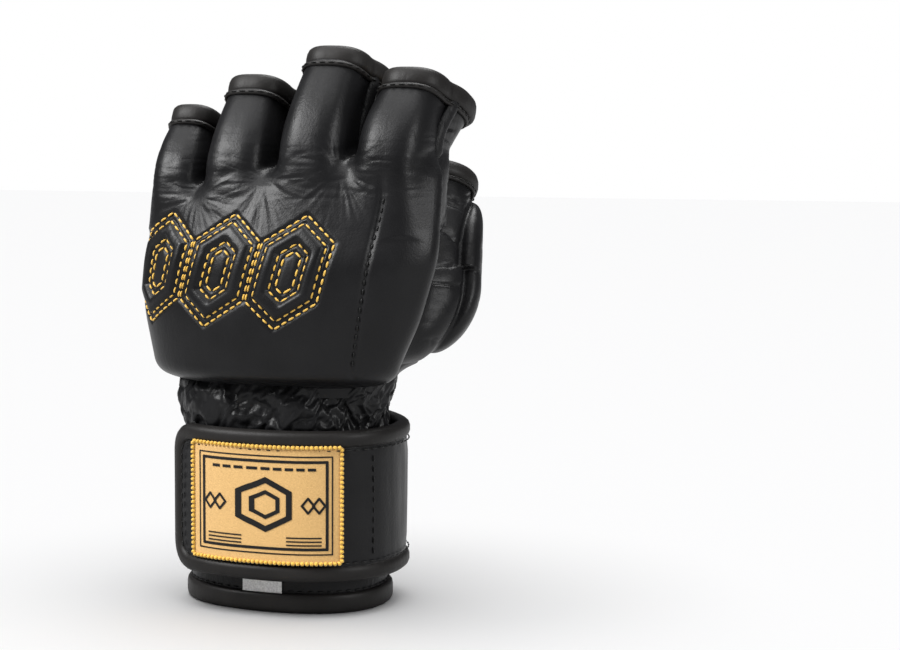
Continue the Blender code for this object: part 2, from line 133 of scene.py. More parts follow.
def smooth_min(a, b, k):
    h = np.maximum(k - np.abs(a - b), 0) / k
    return np.minimum(a, b) - h * h * k / 4


def smooth_step(low, high, value):
    t = np.clip((value - low) / (high - low), 0, 1)
    return t * t * (3 - 2 * t)


def signed_power(value, power):
    return np.sign(value) * np.abs(value) ** power


def circle(count):
    """Angles in radians, evenly round a full turn."""
    return np.arange(count) * 2 * math.pi / count


def rays_round(angles, first, second):
    """Directions round a circle, from the first axis towards the second."""
    return np.cos(angles)[:, None] * first + np.sin(angles)[:, None] * second


def travel(path):
    """The distance along a polyline to each of its points."""
    return np.concatenate([[0], np.cumsum(np.linalg.norm(np.diff(path, axis=0), axis=1))])


def superellipse_point(angle, centre, half_width, half_depth, offset):
    """x and y of a point on a superellipse, moved outwards by the offset. The angle is in degrees."""
    x = signed_power(np.cos(np.radians(angle)), 2 / SQUARENESS)
    y = signed_power(np.sin(np.radians(angle)), 2 / SQUARENESS)
    nx = signed_power(x, SQUARENESS - 1) / half_width
    ny = signed_power(y, SQUARENESS - 1) / half_depth
    length = np.hypot(nx, ny)
    return (centre[0] + half_width * x + offset * nx / length,
            centre[1] + half_depth * y + offset * ny / length)


def hash_noise(points, seed):
    """Smooth value noise from -1 to 1 at points in any unit of one cell."""
    cell = np.floor(points).astype(np.int64)
    t = points - cell
    t = t * t * (3 - 2 * t)
    total = np.zeros(len(points))
    for corner in np.ndindex(2, 2, 2):
        c = cell + corner
        h = (c[:, 0] * 374761393 + c[:, 1] * 668265263 + c[:, 2] * 2147483647 + seed * 974711) & 0xFFFFFFFF
        h = ((h ^ (h >> 13)) * 1274126177) & 0xFFFFFFFF
        value = ((h ^ (h >> 16)) & 0xFFFF) / 32767.5 - 1
        weight = np.ones(len(points))
        for axis in range(3):
            weight = weight * (t[:, axis] if corner[axis] else 1 - t[:, axis])
        total += weight * value
    return total


def new_object(name, points, faces, material, normals=None, smooth=True):
    """An object from points in millimetres."""
    mesh = bpy.data.meshes.new(name)
    points = to_world(points)
    faces = np.asarray(faces)
    sides = faces.shape[1]
    mesh.vertices.add(len(points))
    mesh.vertices.foreach_set("co", points.astype(np.float32).ravel())
    mesh.loops.add(faces.size)
    mesh.loops.foreach_set("vertex_index", faces.astype(np.int32).ravel())
    mesh.polygons.add(len(faces))
    mesh.polygons.foreach_set("loop_start", np.arange(0, faces.size, sides, dtype=np.int32))
    mesh.update(calc_edges=True)
    mesh.validate()
    if smooth:
        mesh.shade_smooth()
    if normals is not None:
        mesh.normals_split_custom_set_from_vertices(normals)
    mesh.materials.append(material)
    made = bpy.data.objects.new(name, mesh)
    bpy.context.scene.collection.objects.link(made)
    return made


def vertex_normals(points, faces):
    """Area-weighted normals of a mesh of quads or triangles."""
    normals = np.zeros_like(points)
    a, c = points[faces[:, 0]], points[faces[:, 2]]
    b, d = points[faces[:, 1]], points[faces[:, -1]]
    face_normals = np.cross(c - a, d - b) if faces.shape[1] == 4 else np.cross(b - a, c - a)
    for k in range(faces.shape[1]):
        np.add.at(normals, faces[:, k], face_normals)
    return normals / np.maximum(np.linalg.norm(normals, axis=1), 1e-12)[:, None]


def grid_faces(rows, columns, closed):
    """Quads of a grid of points stored row by row. A closed grid joins its last column to its first."""
    faces = []
    for j in range(rows - 1):
        for i in range(columns if closed else columns - 1):
            k = (i + 1) % columns
            faces.append((j * columns + i, j * columns + k, (j + 1) * columns + k, (j + 1) * columns + i))
    return np.array(faces)


def subdivided(points, faces):
    """Each quad split in four, with new points halfway."""
    edges = np.concatenate([faces[:, [k, (k + 1) % 4]] for k in range(4)])
    unique, index = np.unique(np.sort(edges, axis=1), axis=0, return_inverse=True)
    index = index.reshape(4, -1).T + len(points)
    centre = np.arange(len(faces)) + len(points) + len(unique)
    points = np.concatenate([points, points[unique].mean(1), points[faces].mean(1)])
    quads = [np.stack([faces[:, k], index[:, k], centre, index[:, k - 1]], 1) for k in range(4)]
    return points, np.concatenate(quads)


def resampled(path, step, closed=False):
    """Evenly spaced points along a polyline."""
    path = np.asarray(path, float)
    if closed:
        path = np.vstack([path, path[:1]])
    travelled = travel(path)
    count = max(2, int(round(travelled[-1] / step)))
    places = np.linspace(0, travelled[-1], count + 1)
    if closed:
        places = places[:-1]
    return np.stack([np.interp(places, travelled, path[:, k]) for k in range(path.shape[1])], 1)


# ---------------------------------------------------------------- materials

def shader(name, base, roughness, specular=0.5):
    material = bpy.data.materials.new(name)
    material.use_nodes = True
    nodes, links = material.node_tree.nodes, material.node_tree.links
    principled = nodes["Principled BSDF"]
    principled.inputs["Base Color"].default_value = (*base, 1)
    principled.inputs["Roughness"].default_value = roughness
    principled.inputs["Specular IOR Level"].default_value = specular
    return material, nodes, links, principled


def texture(nodes, links, kind, scale, detail=2.0, coordinates=None):
    """A noise, voronoi or wave texture in object space, scaled in cells per metre."""
    made = nodes.new(f"ShaderNodeTex{kind}")
    made.inputs["Scale"].default_value = scale
    if "Detail" in made.inputs:
        made.inputs["Detail"].default_value = detail
    links.new(coordinates, made.inputs["Vector"])
    return made


def object_space(nodes, links, stretch=(1, 1, 1)):
    source = nodes.new("ShaderNodeTexCoord")
    mapping = nodes.new("ShaderNodeMapping")
    mapping.inputs["Scale"].default_value = stretch
    links.new(source.outputs["Object"], mapping.inputs["Vector"])
    return mapping.outputs["Vector"]


def bump(nodes, links, height, strength, distance, below=None):
    made = nodes.new("ShaderNodeBump")
    made.inputs["Strength"].default_value = strength
    made.inputs["Distance"].default_value = distance
    links.new(height, made.inputs["Height"])
    if below is not None:
        links.new(below, made.inputs["Normal"])
    return made.outputs["Normal"]


def ramp(nodes, links, value, stops):
    made = nodes.new("ShaderNodeValToRGB")
    made.color_ramp.elements[0].position, made.color_ramp.elements[0].color = stops[0][0], (*stops[0][1], 1)
    made.color_ramp.elements[1].position, made.color_ramp.elements[1].color = stops[-1][0], (*stops[-1][1], 1)
    for place, colour in stops[1:-1]:
        made.color_ramp.elements.new(place).color = (*colour, 1)
    links.new(value, made.inputs["Fac"])
    return made.outputs["Color"]


def leather(name, grain=1.0, creases=0.0, roughness=0.37, base=(0.0045, 0.0045, 0.0049)):
    """Black dyed cowhide: fine pebbled grain, soft creases, and a satin finish that wears a little."""
    material, nodes, links, principled = shader(name, base, roughness, 0.19)
    space = object_space(nodes, links)
    patches = texture(nodes, links, "Noise", 60, 4, space)
    colour = ramp(nodes, links, patches.outputs["Fac"],
                  ((0.3, base), (0.75, tuple(c * 1.7 for c in base))))
    links.new(colour, principled.inputs["Base Color"])
    worn = ramp(nodes, links, patches.outputs["Fac"],
                ((0.25, (roughness - 0.05,) * 3), (0.8, (roughness + 0.09,) * 3)))
    links.new(worn, principled.inputs["Roughness"])
    pores = texture(nodes, links, "Voronoi", 1500, 0, space)
    fine = texture(nodes, links, "Noise", 900, 3, space)
    normal = bump(nodes, links, pores.outputs["Distance"], 0.10 * grain, 0.0003)
    normal = bump(nodes, links, fine.outputs["Fac"], 0.16 * grain, 0.0003, normal)
    if creases:
        folds = texture(nodes, links, "Noise", 210, 5, object_space(nodes, links, (1, 1, 0.45)))
        folds.inputs["Distortion"].default_value = 1.2
        normal = bump(nodes, links, folds.outputs["Fac"], 0.35 * creases, 0.0012, normal)
    links.new(normal, principled.inputs["Normal"])
    return material


def thread(name, base):
    material, nodes, links, principled = shader(name, base, 0.5)
    space = object_space(nodes, links)
    strands = texture(nodes, links, "Noise", 2600, 2, space)
    colour = ramp(nodes, links, strands.outputs["Fac"],
                  ((0.3, tuple(c * 0.6 for c in base)), (0.7, base)))
    links.new(colour, principled.inputs["Base Color"])
    links.new(bump(nodes, links, strands.outputs["Fac"], 0.5, 0.0002), principled.inputs["Normal"])
    principled.inputs["Sheen Weight"].default_value = 0.3 if base[0] > 0.1 else 0.0
    principled.inputs["Specular IOR Level"].default_value = 0.3
    return material


def plain_fabric(name, base, scale=1600):
    material, nodes, links, principled = shader(name, base, 0.8, 0.25)
    space = object_space(nodes, links)
    weave = texture(nodes, links, "Noise", scale, 2, space)
    colour = ramp(nodes, links, weave.outputs["Fac"], ((0.3, tuple(c * 0.7 for c in base)), (0.7, base)))
    links.new(colour, principled.inputs["Base Color"])
    links.new(bump(nodes, links, weave.outputs["Fac"], 0.4, 0.0003), principled.inputs["Normal"])
    return material


MATERIALS = {
    "skin": leather("black_leather_smooth", grain=0.8, creases=0.25),
    "creased": leather("black_leather_creased", grain=1.5, creases=1.2, roughness=0.42),
    "gathered": leather("black_leather_gathered", grain=1.0, creases=0.5, roughness=0.36),
    "binding": leather("black_leather_binding", grain=0.7, creases=0.3, roughness=0.46,
                       base=(0.0085, 0.0078, 0.0074)),
    "black_thread": thread("black_thread", (0.003, 0.003, 0.003)),
    "gold_thread": thread("gold_thread", (0.83, 0.50, 0.07)),
    "tag": plain_fabric("white_satin_tag", (0.93, 0.93, 0.92)),
    "pile": plain_fabric("black_pile", (0.012, 0.012, 0.012), 900),
    "foam": plain_fabric("black_foam", (0.02, 0.02, 0.021), 700),
}


# ---------------------------------------------------------------- the glove as a field of distances

def dense_rows():
    heights = np.arange(0.0, 176.0)
    rows = np.array(HAND_ROWS, float)
    table = np.stack([np.interp(heights, rows[:, 0], rows[:, k]) for k in range(1, 5)], 1)
    kernel = np.exp(-0.5 * (np.arange(-9, 10) / 3.5) ** 2)
    kernel /= kernel.sum()
    padded = np.pad(table, ((9, 9), (0, 0)), mode="edge")
    return heights, np.stack([np.convolve(padded[:, k], kernel, "valid") for k in range(4)], 1)


ROW_HEIGHTS, ROW_TABLE = dense_rows()


def hand_rows(z):
    return [np.interp(z, ROW_HEIGHTS, ROW_TABLE[:, k]) for k in range(4)]


def superellipse_distance(x, y, half_width, half_depth, power=SQUARENESS):
    u, v = np.abs(x) / half_width, np.abs(y) / half_depth
    r = np.maximum((u**power + v**power) ** (1 / power), 1e-6)
    slope = r ** (1 - power) * np.sqrt((u ** (power - 1) / half_width) ** 2
                                       + (v ** (power - 1) / half_depth) ** 2)
    return (r - 1) / np.maximum(slope, 1e-3)


def hand_surface(angle, z, offset=0.0):
    """A point on the leather tube of the hand or cuff, without its pads."""
    angle, z = np.broadcast_arrays(np.asarray(angle, float), np.asarray(z, float))
    cx, cy, half_width, half_depth = hand_rows(z)
    return np.stack([*superellipse_point(angle, (cx, cy), half_width, half_depth, offset), z], -1)


def web_height(x):
    webs = np.array(WEBS)
    return np.interp(x, webs[:, 0], webs[:, 1])


def knuckle_thickness(p):
    """Padding over the back of the hand: steep at its sewn edges, crowned over the knuckles."""
    cx, cy, half_width, half_depth = hand_rows(p[:, 2])
    angle = np.degrees(np.arctan2((p[:, 1] - cy) / half_depth, (p[:, 0] - cx) / half_width)) % 360
    reach = np.radians(1) * (half_width + half_depth) / 2 * 1.1
    left = (angle - BACK_EDGES[0]) * reach * 0.36
    right = (BACK_EDGES[1] - angle) * reach
    bottom = p[:, 2] - PAD_BOTTOM
    inset = smooth_min(smooth_min(left, right, 8), bottom * 1.9, 6)
    rise = np.clip(inset / 13, 0, 1)
    profile = np.sqrt(np.maximum(1 - (1 - rise) ** 2, 0))
    taper = 1 - 0.45 * smooth_step(120, 160, p[:, 2])
    swell = 1 + 0.10 * np.sin(np.clip((p[:, 2] - 80) / 55, 0, 1) * math.pi)
    return KNUCKLE_PAD * profile * taper * swell


def hand_field(p):
    z = p[:, 2]
    cx, cy, half_width, half_depth = hand_rows(np.clip(z, 0, 175))
    tube = superellipse_distance(p[:, 0] - cx, p[:, 1] - cy, half_width, half_depth)
    padded_tube = tube - knuckle_thickness(p)
    top = z - web_height(p[:, 0]) - 1.0 - 0.10 * (p[:, 1] + 20)
    return -smooth_min(-padded_tube, -top, 6)


class Stall:
    """One finger stall: a tube along a bent centre line, with a pad on its back."""

    def __init__(self, name):
        (bx, by), rim, self.base_half, self.rim_half = STALLS[name]
        self.name = name
        self.web = float(web_height(bx))
        self.start = np.array((bx, by, self.web))
        self.end = np.array(rim, float)
        rise = self.end[2] - self.web
        self.knee = self.start + (self.end - self.start) * (0.25, 0, 0) + np.array((0, 0, 0.5 * rise))
        self.length = np.linalg.norm(self.end - self.start)

    def centre(self, t):
        t = np.asarray(t, float)[..., None]
        inner = np.clip(t, 0, None)
        curve = (1 - inner) ** 2 * self.start + 2 * inner * (1 - inner) * self.knee + inner**2 * self.end
        return curve + np.minimum(t, 0) * np.array((0, 0, self.length))

    def along(self, t):
        t = np.clip(np.asarray(t, float), 0, 1)[..., None]
        way = 2 * (1 - t) * (self.knee - self.start) + 2 * t * (self.end - self.knee)
        return way / np.linalg.norm(way, axis=-1, keepdims=True)

    def place(self, p):
        """Share along the centre line, and sideways and palmwards offsets from it."""
        t = (p[:, 2] - self.web) / (self.end[2] - self.web)
        t = np.clip(t, -1.2, 1.3)
        for _ in range(6):
            step = ((p - self.centre(t)) * self.along(t)).sum(1) / self.length
            t = np.clip(t + 0.65 * step, -1.2, 1.35)
        off = p - self.centre(t)
        along = self.along(t)
        side = np.array((1.0, 0, 0)) - along * along[:, :1]
        side /= np.linalg.norm(side, axis=1, keepdims=True)
        palm = np.cross(along, side)
        return t, (off * side).sum(1), (off * palm).sum(1)

    def field(self, p):
        t, u, v = self.place(p)
        mix = np.clip(t, 0, 1)
        half_width = self.base_half[0] + (self.rim_half[0] - self.base_half[0]) * mix
        half_depth = self.base_half[1] + (self.rim_half[1] - self.base_half[1]) * mix
        tube = superellipse_distance(u, v, half_width, half_depth, 2.4)
        lobe_width = half_width + 0.2 - 2.6 * smooth_step(0.1, 0.9, t)
        lobe_centre = -half_depth * 0.35
        fuller_root = 0.55 * (1 - smooth_step(-0.1, 0.8, t))
        depth = half_depth * 0.65 + FINGER_PAD * (1 + fuller_root - 0.45 * smooth_step(0.72, 1.04, t))
        lobe = superellipse_distance(u, v - lobe_centre, lobe_width, depth, 3.2)
        lobe = np.where(v > lobe_centre, np.maximum(lobe, np.abs(u) - lobe_width), lobe)
        ends = (t - 1.0) * self.length
        lobe = -smooth_min(-lobe, -(ends + 0.5), 5)
        return smooth_min(tube, lobe, 1.2)

    def ring(self, t, angles, offset=0.0, field=None):
        """Points round the stall's own skin in the plane across its centre line, found by stepping
        outwards. Angle 0 is +X and 270 the back."""
        centre, along = self.centre(t), self.along(t)
        side = np.array((1.0, 0, 0)) - along * along[0]
        side /= np.linalg.norm(side)
        palm = np.cross(along, side)
        rays = rays_round(np.radians(angles), side, palm)
        return walk_out(centre, rays, field or self.field, 40) + rays * offset


def walk_out(centre, rays, field, reach):
    """Where rays from a point inside the field leave it."""
    low, high = np.zeros(len(rays)), np.full(len(rays), float(reach))
    for _ in range(18):
        middle = (low + high) / 2
        inside = field(centre + rays * middle[:, None]) < 0
        low, high = np.where(inside, middle, low), np.where(inside, high, middle)
    return centre + rays * ((low + high) / 2)[:, None]


def thumb_frame():
    along = THUMB_RIM - THUMB_BASE
    length = np.linalg.norm(along)
    unit = along / length
    out = np.array((math.cos(math.radians(THUMB_OUT)), math.sin(math.radians(THUMB_OUT)), 0.0))
    out -= unit * out.dot(unit)
    out /= np.linalg.norm(out)
    return unit, length, out, np.cross(out, unit)


THUMB_UNIT, THUMB_LENGTH, THUMB_OUTWARD, THUMB_SIDE = thumb_frame()


def thumb_place(p):
    off = p - THUMB_BASE
    v = off @ THUMB_UNIT / THUMB_LENGTH
    root = np.maximum(0, THUMB_STRAIGHT - v) / THUMB_STRAIGHT
    x = off @ THUMB_OUTWARD + THUMB_ROOT_SHIFT * root**2
    return v, x, off @ THUMB_SIDE, root


def thumb_narrowing(v, root):
    return (1 - 0.05 * v) * (1 - 0.42 * np.clip(root, 0, 1) ** 2)


def thumb_pad_inset(v, x, y):
    """How far inside the oval pad's outline a place on the thumb is, in millimetres."""
    around = np.degrees(np.arctan2(y, x))
    across = around / (66 - 10 * (v < 0.5))
    up = (v - 0.53) / 0.40
    return (1 - (np.abs(across) ** 2.4 + np.abs(up) ** 2.4) ** (1 / 2.4)) * 19


def thumb_field(p):
    v, x, y, root = thumb_place(p)
    narrow = thumb_narrowing(v, root)
    tube = superellipse_distance(x, y, THUMB_HALF[0] * narrow, THUMB_HALF[1] * narrow, 2.2)
    inset = thumb_pad_inset(v, x, y)
    rise = np.clip(inset / 5.5, 0, 1)
    pad = THUMB_PAD * np.sqrt(1 - (1 - rise) ** 2)
    groove = 0.9 * np.exp(-((inset + 1.2) / 1.3) ** 2)
    tube = tube - pad + groove
    top, root_end = (v - 1.03) * THUMB_LENGTH, (0.02 - v) * THUMB_LENGTH
    return -smooth_min(smooth_min(-tube, -top, 2), -root_end, 8)


STALL = {name: Stall(name) for name in FINGERS}


def fingers_field(p):
    total = np.full(len(p), 60.0)
    near = p[:, 2] > 128
    q = p[near]
    if len(q) == 0:
        return total
    found = np.full(len(q), 60.0)
    for stall in STALL.values():
        close = np.abs(q[:, 0] - (stall.start[0] + stall.end[0]) / 2) < 26
        value = np.full(len(q), 60.0)
        value[close] = stall.field(q[close])
        root = (135 - q[:, 2]) * 1.0
        value = np.maximum(value, root)
        found = smooth_min(found, value, 0.8)
    total[near] = found
    return total


def glove_field(p):
    body = smooth_min(hand_field(p), fingers_field(p), 4.5)
    return smooth_min(body, thumb_field(p), 6.0)


# ---------------------------------------------------------------- the skin's mesh

def surface_net(field, low, high, step):
    """A quad mesh of the field's zero surface."""
    axes = [np.arange(low[k], high[k] + step, step) for k in range(3)]
    shape = tuple(len(a) for a in axes)
    grid = np.stack(np.meshgrid(*axes, indexing="ij"), -1).reshape(-1, 3)
    values = np.concatenate([field(part) for part in np.array_split(grid, 12)]).reshape(shape)
    inside = values < 0
    cells = tuple(n - 1 for n in shape)
    total = np.zeros((*cells, 3))
    count = np.zeros(cells)
    for axis in range(3):
        others = [k for k in range(3) if k != axis]
        first = [slice(None)] * 3
        second = [slice(None)] * 3
        first[axis], second[axis] = slice(0, -1), slice(1, None)
        a, b = values[tuple(first)], values[tuple(second)]
        crossing = (a < 0) != (b < 0)
        with np.errstate(divide="ignore", invalid="ignore"):
            share = np.where(crossing, a / (a - b), 0)
        for da in (0, 1):
            for db in (0, 1):
                window = [slice(None)] * 3
                window[others[0]] = slice(da, da + cells[others[0]])
                window[others[1]] = slice(db, db + cells[others[1]])
                hit = crossing[tuple(window)]
                count += hit
                place = np.zeros((*cells, 3))
                place[..., axis] = share[tuple(window)]
                place[..., others[0]] = da
                place[..., others[1]] = db
                total += place * hit[..., None]
    active = count > 0
    index = np.full(cells, -1)
    index[active] = np.arange(active.sum())
    base = np.stack(np.nonzero(active), 1)
    points = np.array(low) + step * (base + total[active] / count[active][:, None])
    faces = []
    for axis in range(3):
        u, w = (axis + 1) % 3, (axis + 2) % 3
        first = [slice(1, -1)] * 3
        second = [slice(1, -1)] * 3
        first[axis], second[axis] = slice(0, -1), slice(1, None)
        a, b = inside[tuple(first)], inside[tuple(second)]
        for sign, mask in ((1, a & ~b), (-1, b & ~a)):
            places = np.stack(np.nonzero(mask), 1)
            places[:, u] += 1
            places[:, w] += 1
            corners = []
            for du, dw in ((0, 0), (-1, 0), (-1, -1), (0, -1)):
                corner = places.copy()
                corner[:, u] += du
                corner[:, w] += dw
                corners.append(index[corner[:, 0], corner[:, 1], corner[:, 2]])
            quad = np.stack(corners, 1)
            faces.append(quad if sign > 0 else quad[:, ::-1])
    faces = np.concatenate(faces)
    return points, faces[(faces >= 0).all(1)]


def gradient(field, points, step=0.35):
    grad = np.zeros_like(points)
    for k in range(3):
        move = np.zeros(3)
        move[k] = step
        grad[:, k] = (field(points + move) - field(points - move)) / (2 * step)
    return grad


def settle(field, points, rounds=2):
    """Moves points onto the field's zero surface, and returns them with the outward direction."""
    for _ in range(rounds):
        grad = gradient(field, points)
        size = np.maximum((grad**2).sum(1), 0.05)
        move = np.clip(field(points) / size, -1.5, 1.5)
        points = points - grad * move[:, None]
    grad = gradient(field, points)
    return points, grad / np.maximum(np.linalg.norm(grad, axis=1), 1e-9)[:, None]


def rim_side(name, points):
    """Millimetres past a stall's rim plane."""
    return (points - STALL[name].end) @ RIM_UP


def opening_right(z):
    """The opening's thumb-side edge, bowed out over the heel of the hand."""
    return 0.10 + 0.10 * np.sin(np.clip((z - 80) / 57, 0, 1) * math.pi)


def palm_hole(points):
    """Negative inside the palm's opening."""
    z = points[:, 2]
    cx, cy, half_width, _ = hand_rows(np.clip(z, 60, 160))
    share = (points[:, 0] - cx) / half_width
    across = np.maximum(OPENING_LEFT - share, share - opening_right(z)) * half_width
    up = np.maximum(z - GRIP_Z[0] + 1, 60 - z)
    corner = OPENING_CORNER
    rounded_box = np.where((across > -corner) & (up > -corner),
                           np.hypot(across + corner, up + corner) - corner, np.maximum(across, up))
    return np.maximum(rounded_box, 3 - (points[:, 1] - cy))


def nearest_stall(points):
    """The index in FINGERS of the stall that each point belongs to, by its x."""
    away = []
    for name in FINGERS:
        stall = STALL[name]
        share = np.clip((points[:, 2] - stall.web) / (stall.end[2] - stall.web), 0, 1.2)
        away.append(np.abs(points[:, 0] - stall.start[0] - (stall.end[0] - stall.start[0]) * share))
    return np.argmin(np.array(away), axis=0)


# ---------------------------------------------------------------- places on the back of the hand

class Back:
    """Flat coordinates over the back: arc length from the middle (towards the thumb side) and height."""

    def __init__(self):
        self.angles = np.arange(150.0, 358.0, 2.0)
        self.heights = np.arange(82.0, 154.0, 3.0)
        radii, arcs = [], []
        for z in self.heights:
            cx, cy, _, _ = (float(v) for v in hand_rows(z))
            a = np.radians(self.angles)
            rays = np.stack([np.cos(a), np.sin(a), np.zeros_like(a)], 1)
            centre = np.array((cx, cy, z))
            points = walk_out(centre, rays, lambda q: smooth_min(hand_field(q), fingers_field(q), 7), 75)
            travelled = travel(points)
            travelled -= np.interp(0, points[:, 0], travelled)
            radii.append(np.linalg.norm(points - centre, axis=1))
            arcs.append(travelled)
        self.radii, self.arcs = np.array(radii), np.array(arcs)

    def arc(self, points):
        cx, cy, _, _ = hand_rows(points[:, 2])
        angle = np.degrees(np.arctan2(points[:, 1] - cy, points[:, 0] - cx)) % 360
        i = np.clip((angle - self.angles[0]) / 2, 0, len(self.angles) - 1.001)
        j = np.clip((points[:, 2] - self.heights[0]) / 3, 0, len(self.heights) - 1.001)
        i0, j0 = i.astype(int), j.astype(int)
        fi, fj = i - i0, j - j0
        table = self.arcs
        return ((table[j0, i0] * (1 - fi) + table[j0, i0 + 1] * fi) * (1 - fj)
                + (table[j0 + 1, i0] * (1 - fi) + table[j0 + 1, i0 + 1] * fi) * fj)

    def point(self, arc, z):
        j = min(max((z - self.heights[0]) / 3, 0), len(self.heights) - 1.001)
        j0 = int(j)
        rows = self.arcs[j0] * (1 - j + j0) + self.arcs[j0 + 1] * (j - j0)
        radii = self.radii[j0] * (1 - j + j0) + self.radii[j0 + 1] * (j - j0)
        angle = math.radians(np.interp(arc, rows, self.angles))
        radius = np.interp(arc, rows, radii)
        cx, cy, _, _ = (float(v) for v in hand_rows(z))
        return np.array((cx + radius * math.cos(angle), cy + radius * math.sin(angle), z))


BACK = Back()

# Emblem: three leaning hexagon rings.
EMBLEM_CENTRES = (-39.0, -12.0, 15.0)
EMBLEM_Z = 120.5
EMBLEM_HALF = (13.0, 19.5)
EMBLEM_LEAN = 0.24
EMBLEM_BAND = 7.6  # from a ring's outer row of stitches to its inner one
ROW_GAP = 2.3  # between the two rows of each pair


def hexagon(centre, inset):
    """A leaning hexagon's corners on the back, moved inwards by the inset."""
    width, height = EMBLEM_HALF
    corners = np.array([(0, 1), (1, 0.52), (1, -0.52), (0, -1), (-1, -0.52), (-1, 0.52)]) * (width, height)
    moved = []
    for k in range(6):
        lines = []
        for a, b in ((corners[k - 1], corners[k]), (corners[k], corners[(k + 1) % 6])):
            normal = np.array((a[1] - b[1], b[0] - a[0]))
            normal = -normal / np.linalg.norm(normal) * (1 if normal.dot(-a) < 0 else -1)
            lines.append((normal, normal.dot(a) + inset))
        matrix = np.array([line[0] for line in lines])
        moved.append(np.linalg.solve(matrix, [line[1] for line in lines]))
    moved = np.array(moved)
    moved[:, 0] += EMBLEM_LEAN * moved[:, 1] + centre
    moved[:, 1] += EMBLEM_Z
    return moved


def outline_distance(corners, places):
    """Distance in the plane to a closed outline."""
    best = np.full(len(places), 1e9)
    for a, b in zip(corners, np.roll(corners, -1, axis=0)):
        way = b - a
        t = np.clip(((places - a) @ way) / way.dot(way), 0, 1)
        best = np.minimum(best, np.linalg.norm(places - a - t[:, None] * way, axis=1))
    return best


def inside_convex(corners, places):
    turn = np.stack([(b[0] - a[0]) * (places[:, 1] - a[1]) - (b[1] - a[1]) * (places[:, 0] - a[0])
                     for a, b in zip(corners, np.roll(corners, -1, axis=0))])
    return (turn >= 0).all(0) | (turn <= 0).all(0)


# The seam down the thumb side of the back: (arc length from the middle, height).
SEAM = ((37.0, 86.0), (39.0, 98.0), (41.0, 112.0), (43.0, 128.0), (46.0, 146.0))
EMBLEM_ROWS = (0.0, ROW_GAP, EMBLEM_BAND, EMBLEM_BAND + ROW_GAP)


def relief(points, arcs):
    """How far the leather stands out from the field: puffs, stitch grooves, folds and creases."""
    z = points[:, 2]
    places = np.stack([arcs, z], 1)
    back = smooth_step(2, -8, points[:, 1])
    raised = np.zeros(len(points))
    zone = (np.abs(z - EMBLEM_Z) < 24) & (points[:, 1] < 4)
    for centre in EMBLEM_CENTRES:
        close = zone & (np.abs(arcs - centre) < 22)
        here = places[close]
        outer, inner = hexagon(centre, ROW_GAP), hexagon(centre, EMBLEM_BAND)
        band = inside_convex(outer, here) & ~inside_convex(inner, here)
        inset = np.minimum(outline_distance(outer, here), outline_distance(inner, here))
        puff = np.where(band, 1.5 * np.sqrt(1 - (1 - np.clip(inset / 2.6, 0, 1)) ** 2), 0)
        rows = np.min([outline_distance(hexagon(centre, inset_by), here) for inset_by in EMBLEM_ROWS], axis=0)
        raised[close] += puff - 0.55 * np.exp(-(rows / 0.75) ** 2)
    seam = np.array(SEAM)
    line = np.interp(z, seam[:, 1], seam[:, 0])
    groove = 0.75 * np.exp(-((arcs - line) / 1.1) ** 2)
    raised -= groove * back * smooth_step(82, 90, z) * smooth_step(156, 148, z)
    for web_x, web_z in WEBS[1:4]:
        dx, dz = arcs - web_x, z - web_z + 2
        away = np.hypot(dx, dz)
        turn = np.arctan2(dz, dx)
        rays = 0
        for fineness, share, seed in ((5.0, 0.6, 3), (11.0, 0.4, 9)):
            cells = np.stack([turn * fineness, away / 13, np.full_like(away, web_x)], 1)
            rays = rays + share * (0.5 - np.abs(hash_noise(cells, seed)) * 2)
        fade = np.exp(-((away - 8) / 10) ** 2)
        raised += 0.26 * rays * back * fade * smooth_step(14, 6, dz) * smooth_step(2, 7, away)
    raised += 0.30 * hash_noise(points / (15, 15, 19), 5)
    for spacing, depth, seed in (((22, 20, 3.2), 0.13, 41), ((15, 15, 2.1), 0.10, 43)):
        lines = 1 - np.abs(hash_noise(points / spacing, seed))
        root = smooth_step(140, 150, z) * smooth_step(172, 158, z)
        raised -= depth * back * root * smooth_step(0.72, 1.0, lines)
    return raised - (1 - back) * crumple(points)


def crumple(points):
    """Depth of the slack folds in the thinner leather of the sides, the palm and the thumb."""
    smooth_pad = 1 - 0.85 * smooth_step(-3, 0, thumb_pad_inset(*thumb_place(points)[:3]))
    warped = points + 3.0 * np.stack([hash_noise(points / 11 + k * 5, 51 + k) for k in range(3)], 1)
    folds = 0
    sizes = (((17, 15, 6.5), 0.62, 11), ((10, 9, 3.4), 0.30, 13), ((5, 5, 2.2), 0.13, 17))
    for spacing, depth, seed in sizes:
        folds = folds + depth * np.abs(hash_noise(warped / spacing + 7, seed))
    soft = 1 - smooth_step(0.0, 0.30, folds)
    return smooth_pad * (0.55 * soft - 0.5 * (folds - 0.35))


# ---------------------------------------------------------------- skin pieces

def skin_owner(middle):
    """The body that each of the skin's quads belongs to, as an index in OWNERS, or -1 for none."""
    owner = np.zeros(len(middle), int)
    which = nearest_stall(middle)
    for k, name in enumerate(FINGERS):
        mine = (which == k) & (middle[:, 2] > hinge_height(name))
        owner[mine] = k + 1
        owner[mine & (rim_side(name, middle) > 0.3)] = -1
    v, x, y, _ = thumb_place(middle)
    thumb = (np.hypot(x, y) < 25) & (v > THUMB_CROTCH)
    owner[thumb] = 5
    owner[thumb & (v > 0.995)] = -1
    lower_edge = np.where(middle[:, 1] > 2, PALM_BOTTOM, PAD_BOTTOM - 4)
    owner[(middle[:, 2] < lower_edge) | (palm_hole(middle) < 0)] = -1
    return owner


OWNERS = ("hand", "index", "middle", "ring", "little", "thumb")


# Lengths along a stall or the thumb; bend_with makes points from them but does not use them.
FINGER_BLEND = 24.0
LITTLE_BLEND = 20.0
THUMB_BLEND = 20


